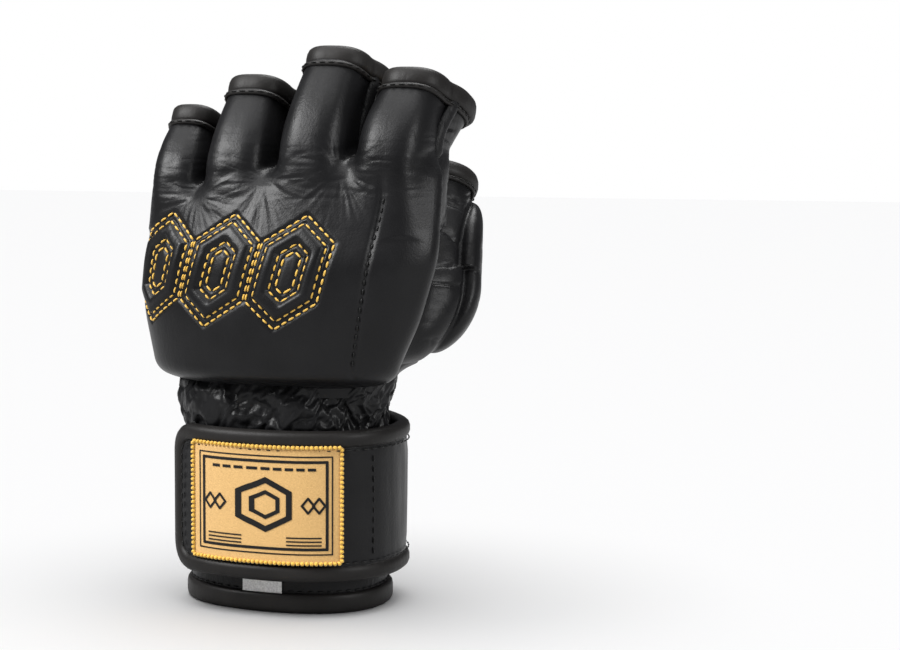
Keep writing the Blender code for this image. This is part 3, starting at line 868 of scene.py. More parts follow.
def hinge_height(name):
    return JOINTS[f"{name}_flex"]["pos_m"][2] * 1000


def bend_with(piece, body):
    """A piece of a stall or of the thumb only has its transform baked into its mesh. Other pieces ride on
    their body.
    """
    if body not in (*FINGERS, "thumb"):
        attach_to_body(piece, body)
    elif body == "thumb":
        start = THUMB_BASE + THUMB_UNIT * THUMB_LENGTH * THUMB_CROTCH
        tuple(to_world(start))
        tuple(to_world(start + THUMB_UNIT * THUMB_BLEND))
        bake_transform(piece)
    else:
        low = np.array((STALL[body].start[0], 0, hinge_height(body)))
        rise = np.array((0, 0, LITTLE_BLEND if body == "little" else FINGER_BLEND))
        tuple(to_world(low))
        tuple(to_world(low + rise))
        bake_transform(piece)


def attach(piece, body, *nodes, slot="black_leather"):
    """Lets a piece ride on its body, or bakes it in place if it belongs to a stall or the thumb, and hides
    the CAD nodes that it stands for. Its slot is not used.
    """
    bend_with(piece, body)
    if nodes:
        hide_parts(*nodes)


def parted(name, points, faces, normals, owner, material, labels):
    """One object for each owner, with the whole mesh's normals so that the partings don't show."""
    made = {}
    for k, label in enumerate(labels):
        mine = faces[owner == k]
        if len(mine) == 0:
            continue
        used, index = np.unique(mine, return_inverse=True)
        made[label] = new_object(f"{label}_{name}", points[used], index.reshape(mine.shape), material,
                                 normals[used])
    return made


def build_skin():
    points, faces = surface_net(glove_field, (-66, -52, 72), (76, 70, 206), 1.15)
    points, _ = settle(glove_field, points)
    points, faces = subdivided(points, faces)
    points, outward = settle(glove_field, points, 1)
    points = points + outward * relief(points, BACK.arc(points))[:, None]
    normals = vertex_normals(points, faces)
    if (normals * outward).sum() < 0:
        faces, normals = faces[:, ::-1], -normals
    pieces = parted("skin", points, faces, normals, skin_owner(points[faces].mean(1)), MATERIALS["skin"],
                    OWNERS)
    for body, piece in pieces.items():
        bend_with(piece, body)
    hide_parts("knuckle_foam", "knuckle_skin", "emblem_puff_1", "emblem_puff_2",
                "emblem_puff_3", "thumb_side_panel", "thenar_panel", "little_side_panel",
                "thumb_base_panel", "thumb_pad_foam", "thumb_pad_skin")
    for body in FINGERS:
        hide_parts(f"{body}_stall", f"{body}_foam", f"{body}_skin")
    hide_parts("thumb_stall")


# ---------------------------------------------------------------- rolls, stitches and sweeps

# Rolled bands: how far each stands out, its height, its sides, and its cross-section's squareness.
BANDS = {
    "finger_rim": (3.9, 7.0, 16, 3.0),
    "finger_lip": (1.7, 1.9, 8, 2.4),
    "thumb_rim": (4.2, 6.4, 14, 2.4),
    "thumb_lip": (1.6, 1.8, 14, 2.4),
    "side_strip": (2.6, 4.6, 12, 2.2),
    "palm_edge": (3.4, 6.2, 12, 2.4),
    "grip_edge": (3.2, 4.4, 12, 2.4),
    "strap_edge": (5.6, 6.2, 14, 2.4),
    "hem": (3.4, 7.0, 14, 3.4),
}

# Stitches: their length, the gap between them, the thread's radius and its material.
STITCHES = {
    "seam": (2.0, 1.1, 0.32, "black_thread"),
    "emblem": (2.3, 0.85, 0.37, "gold_thread"),
    "edge": (2.2, 1.2, 0.28, "black_thread"),
    "grip_bar": (2.0, 1.2, 0.26, "black_thread"),
    "cuff": (2.3, 1.2, 0.30, "black_thread"),
    "overlock": (1.5, 0.1, 0.72, "gold_thread"),
}
STITCH_LIFT = 0.1


def sweep(path, outward, band, closed=False, taper=False):
    """A rolled band swept along a path: its height runs across the path within the surface, and its
    width stands out of it. Returns points and quads."""
    width, height, sides, power = BANDS[band]
    path, outward = np.asarray(path, float), np.asarray(outward, float)
    if closed:
        way = np.roll(path, -1, axis=0) - np.roll(path, 1, axis=0)
    else:
        way = np.gradient(path, axis=0)
    way /= np.linalg.norm(way, axis=1)[:, None]
    across = np.cross(way, outward)
    across /= np.linalg.norm(across, axis=1)[:, None]
    out = np.cross(across, way)
    a = circle(sides)
    c, s = signed_power(np.cos(a), 2 / power), signed_power(np.sin(a), 2 / power)
    size = np.ones(len(path))
    if taper and not closed:
        ends = np.minimum(np.arange(len(path)), np.arange(len(path))[::-1])
        size = np.sqrt(np.clip((ends + 0.15) / 2.0, 0, 1))
    rings = (path[:, None] + across[:, None] * (c * height / 2)[None, :, None] * size[:, None, None]
             + out[:, None] * (s * width / 2)[None, :, None] * size[:, None, None])
    points = rings.reshape(-1, 3)
    rows = len(path)
    faces = list(map(tuple, grid_faces(rows, sides, True)))
    if closed:
        last = (rows - 1) * sides
        faces += [(last + i, last + (i + 1) % sides, (i + 1) % sides, i) for i in range(sides)]
    else:
        for base, flip in ((0, True), ((rows - 1) * sides, False)):
            for i in range(1, sides // 2):
                quad = (base + i - 1, base + i, base + sides - i - 1 if i < sides // 2 else base,
                        base + (sides - i) % sides)
                faces.append(quad[::-1] if flip else quad)
    faces = np.array([f for f in faces if len(set(f)) == 4])
    return points, faces


def capsules(starts, ends, outward, radius, sides=6):
    """Many stitches as one mesh: each is a short thread, thick in the middle and sunk at both ends."""
    way = ends - starts
    length = np.linalg.norm(way, axis=1)[:, None]
    unit = way / length
    side = np.cross(unit, outward)
    side /= np.linalg.norm(side, axis=1)[:, None]
    out = np.cross(side, unit)
    profile = ((0.0, 0.25, -0.5), (0.10, 0.75, -0.1), (0.32, 1.0, 0.25), (0.68, 1.0, 0.25),
               (0.90, 0.75, -0.1), (1.0, 0.25, -0.5))
    a = circle(sides)
    rings = []
    for share, size, lift in profile:
        centre = starts + way * share + out * lift * radius
        rings.append(centre[:, None] + radius * size * (np.cos(a)[None, :, None] * side[:, None]
                                                        + np.sin(a)[None, :, None] * out[:, None]))
    points = np.stack(rings, 1).reshape(-1, 3)
    block = grid_faces(len(profile), sides, True)
    count = len(profile) * sides
    faces = (np.arange(len(starts)) * count)[:, None, None] + block[None]
    return points, faces.reshape(-1, 4)


def stitch_line(path, outward, kind, closed=False):
    """Starts, ends and directions of the stitches along a path."""
    length, gap = STITCHES[kind][:2]
    joined = np.hstack([path, outward])
    if closed:
        joined = np.vstack([joined, joined[:1]])
    travelled = travel(joined[:, :3])
    count = max(1, int(round(travelled[-1] / (length + gap))))
    pitch = travelled[-1] / count
    at = np.arange(count) * pitch + gap / 2 * pitch / (length + gap)
    share = length / (length + gap) * pitch

    def read(places):
        return np.stack([np.interp(places, travelled, joined[:, k]) for k in range(6)], 1)

    first, last, middle = read(at), read(at + share), read(at + share / 2)
    normal = middle[:, 3:] / np.linalg.norm(middle[:, 3:], axis=1)[:, None]
    return first[:, :3], last[:, :3], normal


def stitches(name, lines, kind):
    """One object of all the stitches along several lines."""
    radius, material = STITCHES[kind][2:]
    starts, ends, normals = (np.concatenate(part) for part in zip(*lines))
    lift = normals * STITCH_LIFT
    points, faces = capsules(starts + lift, ends + lift, normals, radius)
    return new_object(name, points, faces, MATERIALS[material])


def drape(points, field=glove_field, rounds=4):
    return settle(field, np.asarray(points, float), rounds)


def build_seam_stitches():
    """The seam down the thumb side of the back pad, round its lower corner."""
    seam = np.array(SEAM)
    heights = np.arange(88.0, 147.0, 1.5)
    flat = [(float(np.interp(z, seam[:, 1], seam[:, 0])), z) for z in heights]
    path, outward = drape([BACK.point(*place) for place in flat], rounds=1)
    path = path + outward * (relief(path, BACK.arc(path)) + 0.12)[:, None]
    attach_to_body(stitches("side_seam_stitches", [stitch_line(path, outward, "seam")], "seam"), "hand")


def build_emblem_stitches():
    lines = []
    for centre in EMBLEM_CENTRES:
        for inset in EMBLEM_ROWS:
            corners = hexagon(centre, inset)
            for a, b in zip(corners, np.roll(corners, -1, axis=0)):
                edge = a + (b - a) * np.linspace(0, 1, 14)[:, None]
                path, outward = drape([BACK.point(*place) for place in edge], rounds=1)
                path = path + outward * (relief(path, BACK.arc(path)) + 0.18)[:, None]
                lines.append(stitch_line(path, outward, "emblem"))
    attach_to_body(stitches("emblem_gold_stitches", lines, "emblem"), "hand")


RIM_POINTS = 96
RIM_REACH = 30.0  # further than any rim lies from its centre
RIM_LIP_OUT = 0.5
RIM_THREAD_OUT = 1.4


def rim_path(name, drop):
    """Points round a stall's rim and the directions out of it, drop millimetres below the rim plane."""
    stall = STALL[name]
    rays = rays_round(circle(RIM_POINTS), np.array((1.0, 0, 0)), RIM_PALM)
    centre = stall.end - RIM_UP * drop - np.array((0, 0.45 * drop, 0))
    return walk_out(centre, rays, stall.field, RIM_REACH), rays


def build_rims():
    for name in FINGERS:
        path, rays = rim_path(name, 1.2)
        points, faces = sweep(path - rays * 0.3, rays, "finger_rim", closed=True)
        roll = new_object(f"{name}_rim_binding", points, faces, MATERIALS["binding"])
        attach(roll, name, f"{name}_binding")
        path, rays = rim_path(name, 4.9)
        points, faces = sweep(path + rays * RIM_LIP_OUT, rays, "finger_lip", closed=True)
        lip = new_object(f"{name}_rim_lip", points, faces, MATERIALS["binding"])
        bend_with(lip, name)
        line = stitch_line(path + rays * RIM_THREAD_OUT, rays, "edge", closed=True)
        bend_with(stitches(f"{name}_rim_stitches", [line], "edge"), name)
    rays = rays_round(circle(RIM_POINTS), THUMB_OUTWARD, THUMB_SIDE)
    parts = ((1.0, -0.2, "thumb_rim", "binding"), (4.7, RIM_LIP_OUT, "thumb_lip", "lip"))
    for drop, out, band, part in parts:
        centre = THUMB_BASE + THUMB_UNIT * (THUMB_LENGTH - drop)
        path = walk_out(centre, rays, thumb_field, RIM_REACH)
        points, faces = sweep(path + rays * out, rays, band, closed=True)
        roll = new_object(f"thumb_rim_{part}", points, faces, MATERIALS["binding"])
        bend_with(roll, "thumb")
        if part == "binding":
            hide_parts("thumb_binding")
        else:
            line = stitch_line(path + rays * RIM_THREAD_OUT, rays, "edge", closed=True)
            bend_with(stitches("thumb_rim_stitches", [line], "edge"), "thumb")


def build_fourchettes():
    """The folded side strips that show between the stalls, from each rim down to its web."""
    for name in FINGERS:
        stall = STALL[name]
        for side, angle in (("inner", 206.0), ("outer", 334.0)):
            if (name, side) == ("little", "inner"):
                continue
            shares = np.linspace(0.16, 0.93, 22)
            points, rays = [], []
            for t in shares:
                place = stall.ring(t, [angle], 0.0, tube_only(stall))[0]
                centre = stall.centre(t)
                points.append(place)
                rays.append((place - centre) / np.linalg.norm(place - centre))
            points, rays = np.array(points), np.array(rays)
            sway = 0.5 * np.sin(shares * 9 + stall.start[0])[:, None] * np.array((0.3, 1.0, 0))
            mesh_points, faces = sweep(points + sway + rays * 0.3, rays, "side_strip", taper=True)
            strip = new_object(f"{name}_{side}_fold", mesh_points, faces, MATERIALS["creased"])
            bend_with(strip, name)


def tube_only(stall):
    def field(p):
        _, u, v = stall.place(p)
        return superellipse_distance(u, v, stall.rim_half[0] - 0.2, stall.rim_half[1], 2.4)
    return field


# ---------------------------------------------------------------- palm

def palm_outline():
    """Round the palm's opening, as (share of the half width, height) from the strap up one side, across
    and down."""
    shoulder = GRIP_Z[0] - 1 - OPENING_CORNER
    right = float(opening_right(shoulder))
    left_width, right_width = OPENING_CORNER_SHARES
    turns = [math.radians(turn) for turn in np.linspace(0, 90, 7)]
    path = [(float(opening_right(z)), z) for z in np.linspace(PALM_BOTTOM, shoulder, 20)]
    path += [(right - right_width * (1 - math.cos(turn)), shoulder + OPENING_CORNER * math.sin(turn))
             for turn in turns[1:]]
    path += [(share, GRIP_Z[0] - 1)
             for share in np.linspace(right - right_width, OPENING_LEFT + left_width, 16)[1:]]
    path += [(OPENING_LEFT + left_width * (1 - math.cos(turn)), shoulder + OPENING_CORNER * math.sin(turn))
             for turn in turns[-2::-1]]
    return path + [(OPENING_LEFT, z) for z in np.linspace(shoulder, PALM_BOTTOM, 20)[1:]]


def on_palm(share, z):
    """A point of the palm's surface at a share of the half width from the middle."""
    cx, cy, half_width, half_depth = (float(v) for v in hand_rows(min(z, 160)))
    y = cy + half_depth * (1 - min(abs(share), 0.999) ** SQUARENESS) ** (1 / SQUARENESS)
    return np.array((cx + share * half_width, y, z))


def build_palm():
    path = resampled([on_palm(*place) for place in palm_outline()], 1.4)
    grad = gradient(hand_field, path)
    outward = grad / np.linalg.norm(grad, axis=1)[:, None]
    points, faces = sweep(path + outward * 0.2, outward, "palm_edge")
    roll = new_object("palm_opening_binding", points, faces, MATERIALS["binding"])
    attach(roll, "hand", "thenar_edge_binding", "little_edge_binding", "grip_bar_lower_binding")
    side = np.cross(np.gradient(path, axis=0), outward)
    side /= np.linalg.norm(side, axis=1)[:, None]
    middle = path.mean(0)
    if (side * (path - middle)).sum() < 0:
        side = -side
    line = stitch_line(path + side * 2.3 + outward * 1.7, outward, "edge")
    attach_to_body(stitches("palm_opening_stitches", [line], "edge"), "hand")
    build_grip_bar()


def build_grip_bar():
    """The padded bar across the top of the palm, between two rolled edges."""
    shares = np.linspace(-0.69, 0.42, 56)
    ends = np.sqrt(np.clip(np.minimum(shares - shares[0], shares[-1] - shares) / 0.06, 0, 1))
    low, high = GRIP_Z[0] + 2.8, GRIP_Z[1] - 1.0
    heights = np.linspace(low, high, 9)
    rows, outward = [], []
    for z in heights:
        path, out = drape([on_palm(c, z) for c in shares], rounds=3)
        rise = 1.3 * math.sqrt(max(0, 1 - ((z - (low + high) / 2) / ((high - low) / 2)) ** 2)) + 0.1
        rows.append(path + out * (rise * ends - 0.3 * (1 - ends))[:, None])
        outward.append(out)
    points = np.concatenate(rows)
    faces = grid_faces(len(heights), len(shares), False)
    bar = new_object("grip_bar_strip", points, faces, MATERIALS["creased"])
    attach(bar, "hand", "grip_bar_foam", "grip_bar_cover")
    path, out = drape([on_palm(c, GRIP_Z[1]) for c in shares], rounds=3)
    points, faces = sweep(path + out * 0.5, out, "grip_edge", taper=True)
    top = new_object("grip_bar_top_binding", points, faces, MATERIALS["binding"])
    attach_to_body(top, "hand")
    lines = [stitch_line(rows[k], outward[k], "grip_bar") for k in (2, 4, 6)]
    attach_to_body(stitches("grip_bar_stitches", lines, "grip_bar"), "hand")


# ---------------------------------------------------------------- linings

def printed_lining():
    """Black cloth printed with a gold lattice of hexagons, in millimetre-sized cells."""
    material, nodes, links, principled = shader("printed_lattice", (0.01, 0.01, 0.01), 0.75, 0.2)
    source = nodes.new("ShaderNodeTexCoord")
    split = nodes.new("ShaderNodeSeparateXYZ")
    links.new(source.outputs["Object"], split.inputs["Vector"])

    def calc(operation, a, b=None, c=None):
        node = nodes.new("ShaderNodeMath")
        node.operation = operation
        for socket, value in zip(node.inputs, (a, b, c)):
            if value is None:
                continue
            if isinstance(value, (int, float)):
                socket.default_value = value
            else:
                links.new(value, socket)
        return node.outputs[0]

    pitch = 0.0095
    u = calc("DIVIDE", calc("ADD", split.outputs["X"], calc("MULTIPLY", split.outputs["Y"], 0.35)), pitch)
    v = calc("DIVIDE", split.outputs["Z"], pitch)
    cells = []
    for shift in (0.0, 0.5):
        du = calc("SUBTRACT", calc("FRACT", calc("ADD", u, shift)), 0.5)
        dv = calc("MULTIPLY", calc("SUBTRACT", calc("FRACT", calc("ADD", calc("DIVIDE", v, 1.7320508),
                                                                 shift)), 0.5), 1.7320508)
        au, av = calc("ABSOLUTE", du), calc("ABSOLUTE", dv)
        slanted = calc("ADD", calc("MULTIPLY", au, 0.5), calc("MULTIPLY", av, 0.8660254))
        cells.append(calc("MAXIMUM", au, slanted))
    cell = calc("MINIMUM", cells[0], cells[1])
    grid = calc("GREATER_THAN", cell, 0.455)
    ring = calc("MULTIPLY", calc("GREATER_THAN", cell, 0.27), calc("LESS_THAN", cell, 0.33))
    dot = calc("LESS_THAN", cell, 0.09)
    print_on = calc("MAXIMUM", calc("MAXIMUM", grid, ring), dot)
    mix = nodes.new("ShaderNodeMix")
    mix.data_type = "RGBA"
    mix.inputs["A"].default_value = (0.006, 0.006, 0.006, 1)
    mix.inputs["B"].default_value = (0.42, 0.27, 0.035, 1)
    links.new(print_on, mix.inputs["Factor"])
    links.new(mix.outputs["Result"], principled.inputs["Base Color"])
    weave = texture(nodes, links, "Noise", 1500, 2, source.outputs["Object"])
    links.new(bump(nodes, links, weave.outputs["Fac"], 0.4, 0.0002), principled.inputs["Normal"])
    return material


def build_linings():
    cloth = printed_lining()
    frame["nodes"]["cuff_lining"].material_slots[0].material = cloth
    angles = np.arange(0, 360, 3.0)
    heights = np.linspace(PAD_BOTTOM - 3, 158, 50)
    rows = [hand_surface(angles, np.full(len(angles), z), -2.0) for z in heights]
    points = np.concatenate(rows)
    faces = grid_faces(len(heights), len(angles), True)
    middle = points[faces].mean(1)
    on_skin = middle + (0, 1.5, 0)
    faces = faces[(palm_hole(on_skin) > -1.0) & (middle[:, 2] < web_height(middle[:, 0]) - 3)]
    v, x, y, _ = thumb_place(points[faces].mean(1))
    faces = faces[~((np.hypot(x, y) < 12) & (v > 0.2))]
    lining = new_object("hand_lining", points, faces, cloth)
    attach(lining, "hand", "back_lining", slot="printed_lining")
    for name in FINGERS:
        stall = STALL[name]
        shares = np.linspace(-0.12, 0.985, 24)
        rows = [stall.ring(t, np.arange(0, 360, 6.0), -1.9, tube_only(stall)) for t in shares]
        tube = new_object(f"{name}_inside", np.concatenate(rows), grid_faces(24, 60, True), cloth)
        attach(tube, name, f"{name}_lining", slot="printed_lining")
    a = np.radians(np.arange(0, 360, 6.0))
    rows = []
    for v in np.linspace(0.30, 0.985, 24):
        narrow = thumb_narrowing(v, max(0, THUMB_STRAIGHT - v) / THUMB_STRAIGHT)
        shift = THUMB_OUTWARD * THUMB_ROOT_SHIFT * (max(0, THUMB_STRAIGHT - v) / THUMB_STRAIGHT) ** 2
        centre = THUMB_BASE + THUMB_UNIT * THUMB_LENGTH * v - shift
        out = np.cos(a) * (THUMB_HALF[0] * narrow - 1.8)
        side = np.sin(a) * (THUMB_HALF[1] * narrow - 1.8)
        rows.append(centre + out[:, None] * THUMB_OUTWARD + side[:, None] * THUMB_SIDE)
    tube = new_object("thumb_inside", np.concatenate(rows), grid_faces(24, 60, True), cloth)
    attach(tube, "thumb", "thumb_lining", slot="printed_lining")


# ---------------------------------------------------------------- cuff and strap

def strap_lift(angle):
    share = np.clip((STRAP_BENDS[0] - angle) / (STRAP_BENDS[0] + 40), 0, 1)
    return 2.0 + 3.0 * share


def strap_place(angle, z, offset):
    """A point over the strap's inner face, for arrays of angles, heights and offsets."""
    angle, z, offset = np.broadcast_arrays(*(np.asarray(v, float) for v in (angle, z, offset)))
    reach = strap_lift(angle) + offset
    return np.stack([*superellipse_point(angle, (0, 0), *STRAP_HALF, reach), z], -1)


def strap_out(angle):
    away = strap_place(angle, 0.0, 1.0) - strap_place(angle, 0.0, 0.0)
    return away / np.linalg.norm(away, axis=-1, keepdims=True)


def strap_edges(angle):
    low, high = STRAP_Z
    rise = max(0.0, (angle - STRAP_BENDS[2]) / (STRAP_BENDS[0] - STRAP_BENDS[2]))
    high += STRAP_ROOT_RISE * rise**1.5
    left = (angle - STRAP_BENDS[4]) * math.pi / 180 * (STRAP_HALF[0] + STRAP_HALF[1] + 10) / 2
    if left < STRAP_CORNER:
        drop = STRAP_CORNER - math.sqrt(max(0, STRAP_CORNER**2 - (STRAP_CORNER - left) ** 2))
        low, high = low + drop, high - drop
    return low, high


STRAP_BODIES = ("strap_palm", "strap_side", "strap_tip")
STRAP_CUTS = (73.0, 0.0)


def bend_strap(piece, part):
    """part 0 to 2 crosses the strap's first, second or third hinge."""
    bend = STRAP_BENDS[part + 1]
    start, end = strap_place(bend + 13, 40, 2.0), strap_place(bend - 13, 40, 2.0)
    tuple(to_world(start))
    tuple(to_world(end))
    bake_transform(piece)


def strap_pieces(name, points, faces, material):
    """Parts a mesh that runs along the strap into three pieces, named after the strap's three bodies."""
    angles = angle_of(points[faces].mean(1))
    normals = vertex_normals(points, faces)
    owner = np.where(angles > STRAP_CUTS[0], 0, np.where(angles > STRAP_CUTS[1], 1, 2))
    made = parted(name, points, faces, normals, owner, MATERIALS[material], STRAP_BODIES)
    for part, body in enumerate(STRAP_BODIES):
        if body in made:
            bend_strap(made[body], part)
    return made


def angle_of(points):
    """The angle round the cuff of points near the strap, from -180 to 180 turned so that the palm's
    sewn end comes first."""
    angle = np.degrees(np.arctan2(points[:, 1] / STRAP_HALF[1], points[:, 0] / STRAP_HALF[0]))
    return np.where(angle < -165, angle + 360, angle)


def build_strap():
    angles = np.arange(STRAP_BENDS[0], STRAP_BENDS[4] + 2.0, -1.0)
    profile = 28
    a = circle(profile)
    c, s = signed_power(np.cos(a), 0.34), signed_power(np.sin(a), 0.5)
    rings = []
    for angle in angles:
        low, high = strap_edges(angle)
        low, high = low + 1.5, high - 1.5
        z = (low + high) / 2 - c * (high - low) / 2
        crown = 0.35 * np.cos(np.clip((z - (low + high) / 2) / (high - low), -0.5, 0.5) * math.pi)
        spots = np.stack([np.full_like(z, angle / 11), z / 10, np.zeros_like(z)], 1)
        wave = (0.12 * math.sin(angle / 9.0) + 0.30 * hash_noise(spots, 61)
                + 0.14 * hash_noise(spots * 2.4, 63))
        offset = 2.1 + s * 2.0 + np.where(s > 0, crown + wave, 0)
        rings.append(strap_place(angle, z, offset))
    points = np.concatenate(rings)
    faces = grid_faces(len(angles), profile, True)
    caps = []
    for base in (0, (len(angles) - 1) * profile):
        caps += [(base + i - 1, base + i, base + profile - i - 1, base + (profile - i) % profile)
                 for i in range(1, profile // 2)]
    caps = [c for c in caps if len(set(c)) == 4]
    faces = np.concatenate([faces, np.array(caps)])
    made = strap_pieces("leather", points, faces, "skin")
    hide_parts("strap_palm_foam", "strap_palm_skin", "strap_anchor")
    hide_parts("strap_side_foam", "strap_side_skin")
    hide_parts("strap_tip_foam", "strap_tip_skin")
    build_strap_edges()


def strap_outline(inset):
    """Along the strap's bottom from the sewn end, round the free end, and back along its top."""
    bottom, top = [], []
    for angle in np.arange(STRAP_BENDS[0], STRAP_BENDS[4] + 10, -1.0):
        low, high = strap_edges(angle)
        bottom.append((angle, low + inset))
        top.append((angle, high - inset))
    per_degree = STRAP_PER_DEGREE
    corner = STRAP_CORNER - inset
    end = STRAP_BENDS[4] + inset / per_degree
    turn = np.radians(np.arange(0, 91, 9.0))
    around = [(end + corner * (1 - math.sin(t)) / per_degree, STRAP_Z[0] + inset + corner * (1 - math.cos(t)))
              for t in turn]
    back = [(angle, STRAP_Z[0] + STRAP_Z[1] - z) for angle, z in reversed(around)]
    keep = end + (corner + 0.5) / per_degree
    bottom = [place for place in bottom if place[0] > keep]
    top = [place for place in top if place[0] > keep]
    return bottom + around + back + top[::-1]


def build_strap_edges():
    flat = resampled(strap_outline(2.6), 1.0)
    path = strap_place(flat[:, 0], flat[:, 1], 2.5)
    outward = strap_out(flat[:, 0])
    joined = resampled(np.hstack([path, outward]), 1.3)
    path, outward = joined[:, :3], joined[:, 3:]
    points, faces = sweep(path, outward, "strap_edge")
    made = strap_pieces("edge_binding", points, faces, "binding")
    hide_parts("strap_palm_lower_binding", "strap_palm_upper_binding")
    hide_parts("strap_side_lower_binding", "strap_side_upper_binding")
    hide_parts("strap_tip_binding")
    flat = resampled(strap_outline(6.2), 1.0)
    path = strap_place(flat[:, 0], flat[:, 1], STRAP_STITCH_OUT)
    lines = stitch_line(path, strap_out(flat[:, 0]), "cuff")
    seam = np.array([(STRAP_BENDS[3] + 1.0, z) for z in np.linspace(21, 57, 30)])
    path = strap_place(seam[:, 0], seam[:, 1], STRAP_SEAM_OUT)
    cross = stitch_line(path, strap_out(seam[:, 0]), "cuff")
    starts, ends, normals = (np.concatenate(pair) for pair in zip(lines, cross))
    radius, material = STITCHES["cuff"][2:]
    points, faces = capsules(starts, ends, normals, radius)
    strap_pieces("stitches", points, faces, material)


CUFF_SPAN = (116.0, 456.0)  # the cuff runs round from one side of its slit to the other
HEM_Z = 3.5
HEM_STITCH_Z = 7.6


def build_cuff():
    angles = np.linspace(*CUFF_SPAN, 171)
    heights = np.concatenate([np.linspace(3, 16, 8), np.linspace(20, 62, 10)])
    outer = [hand_surface(angles, np.full(len(angles), z), 0.0) for z in heights]
    inner = [hand_surface(angles, np.full(len(angles), z), -1.3) for z in heights[::-1]]
    points = np.concatenate(outer + inner)
    points += np.stack([0.25 * hash_noise(points / 12, 21 + k) for k in range(3)], 1) * (1, 1, 0)
    rows = len(outer) + len(inner)
    faces = grid_faces(rows, len(angles), False)
    shell = new_object("cuff_leather", points, faces, MATERIALS["creased"])
    attach(shell, "cuff", "cuff_shell")
    angles = np.linspace(*CUFF_SPAN, 220)
    heights = HEM_Z + 0 * angles
    path = hand_surface(angles, heights, 0.25)
    outward = hand_surface(angles, heights, 1.35) - hand_surface(angles, heights, 0.35)
    points, faces = sweep(path, outward, "hem")
    points[:, 2] = np.maximum(points[:, 2], 0)
    hem = new_object("cuff_hem_binding", points, faces, MATERIALS["binding"])
    attach(hem, "cuff", "cuff_hem")
    line = stitch_line(hand_surface(angles, HEM_STITCH_Z + 0 * angles, 0.2), outward, "cuff")
    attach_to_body(stitches("cuff_hem_stitches", [line], "cuff"), "cuff")
    frame["nodes"]["size_tag"].material_slots[0].material = MATERIALS["tag"]
    for name in ("loop_patch", "hook_patch"):
        frame["nodes"][name].material_slots[0].material = MATERIALS["pile"]


GATHERS_SLACK = 0.13  # how much more leather there is than room, each way


def buckled(piece, pinned, frames=20, reach=0.0034):
    """Runs a piece as leather cut too big for its place and sewn along its pinned points, and keeps the
    folds. No point moves further than reach, in metres."""
    group = piece.vertex_groups.new(name="pinned")
    group.add(pinned, 1.0, "REPLACE")
    before = np.empty(len(piece.data.vertices) * 3)
    piece.data.vertices.foreach_get("co", before)
    cloth = piece.modifiers.new("cloth", "CLOTH")
    settings = cloth.settings
    settings.quality = 5
    settings.mass = 0.25
    settings.tension_stiffness = settings.compression_stiffness = 14
    settings.shear_stiffness = 4
    settings.bending_stiffness = 0.03
    settings.vertex_group_mass = "pinned"
    settings.shrink_min = -GATHERS_SLACK
    settings.effector_weights.gravity = 0
    cloth.point_cache.frame_start, cloth.point_cache.frame_end = 1, frames
    stage = bpy.context.scene
    for frame_number in range(1, frames + 1):
        stage.frame_set(frame_number)
    found = piece.evaluated_get(bpy.context.evaluated_depsgraph_get())
    after = np.empty_like(before)
    found.data.vertices.foreach_get("co", after)
    piece.modifiers.remove(cloth)
    piece.vertex_groups.clear()
    moved = (after - before).reshape(-1, 3)
    length = np.linalg.norm(moved, axis=1)[:, None]
    moved *= np.minimum(1, reach / np.maximum(length, 1e-9))
    piece.data.vertices.foreach_set("co", (before.reshape(-1, 3) + moved).ravel())
    piece.data.update()
    stage.frame_set(1)


GATHERS_Z = (58.0, PAD_BOTTOM + 4)
WRIST_BLEND_Z = (66, 79)  # heights on the wrist between the cuff and the hand; build_gusset makes points of them but does not use them


def build_gusset():
    """The thin leather between the cuff and the hand: gathered, so it buckles into folds."""
    start, end = (tuple(to_world((0, 0, z))) for z in WRIST_BLEND_Z)
    angles = np.linspace(117, 455, 300)
    heights = np.linspace(*GATHERS_Z, 40)
    rows = []
    for z in heights:
        share = (z - heights[0]) / (heights[-1] - heights[0])
        loose = math.sin(share * math.pi) ** 0.8
        base = hand_surface(angles, np.full(len(angles), z), 0.0)
        out = hand_surface(angles, np.full(len(angles), z), 1.0) - base
        a = np.radians(angles)
        cells = np.stack([a * 11 + share * 1.5, np.full_like(a, share * 3), np.zeros_like(a)], 1)
        fine = np.stack([a * 25 - share * 3, np.full_like(a, share * 7), np.zeros_like(a) + 5], 1)
        slack = 1.5 + 0.7 * hash_noise(cells, 31) + 0.35 * hash_noise(fine, 37)
        rows.append(base + out * (loose * slack)[:, None])
    points = np.concatenate(rows)
    piece = new_object("wrist_gathers", points, grid_faces(len(heights), len(angles), False),
                       MATERIALS["gathered"])
    count = len(angles)
    buckled(piece, list(range(2 * count)) + list(range(len(points) - 2 * count, len(points))))
    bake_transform(piece)
    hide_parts("wrist_gusset")
    rows = [hand_surface(angles, np.full(len(angles), z), -1.6) for z in (60, 65, 70, 75, 80)]
    lining = new_object("wrist_inside", np.concatenate(rows), grid_faces(5, len(angles), False),
                        MATERIALS["pile"])
    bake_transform(lining)


# ---------------------------------------------------------------- label

LABEL_ANGLES = (-121.0, -46.0)
LABEL_Z = (19.5, 60.0)
# How far its back, its face, its edge stitches and its print lie over the strap's inner face.
LABEL_BACK, LABEL_FACE, LABEL_EDGE, LABEL_PRINT = 4.4, 5.15, 5.2, 5.30
LABEL_WAVE = (0.10, 6.0)  # the woven cloth's slight waves: their height, and degrees along the strap


def label_wave(angles):
    return LABEL_WAVE[0] * np.sin(angles / LABEL_WAVE[1])


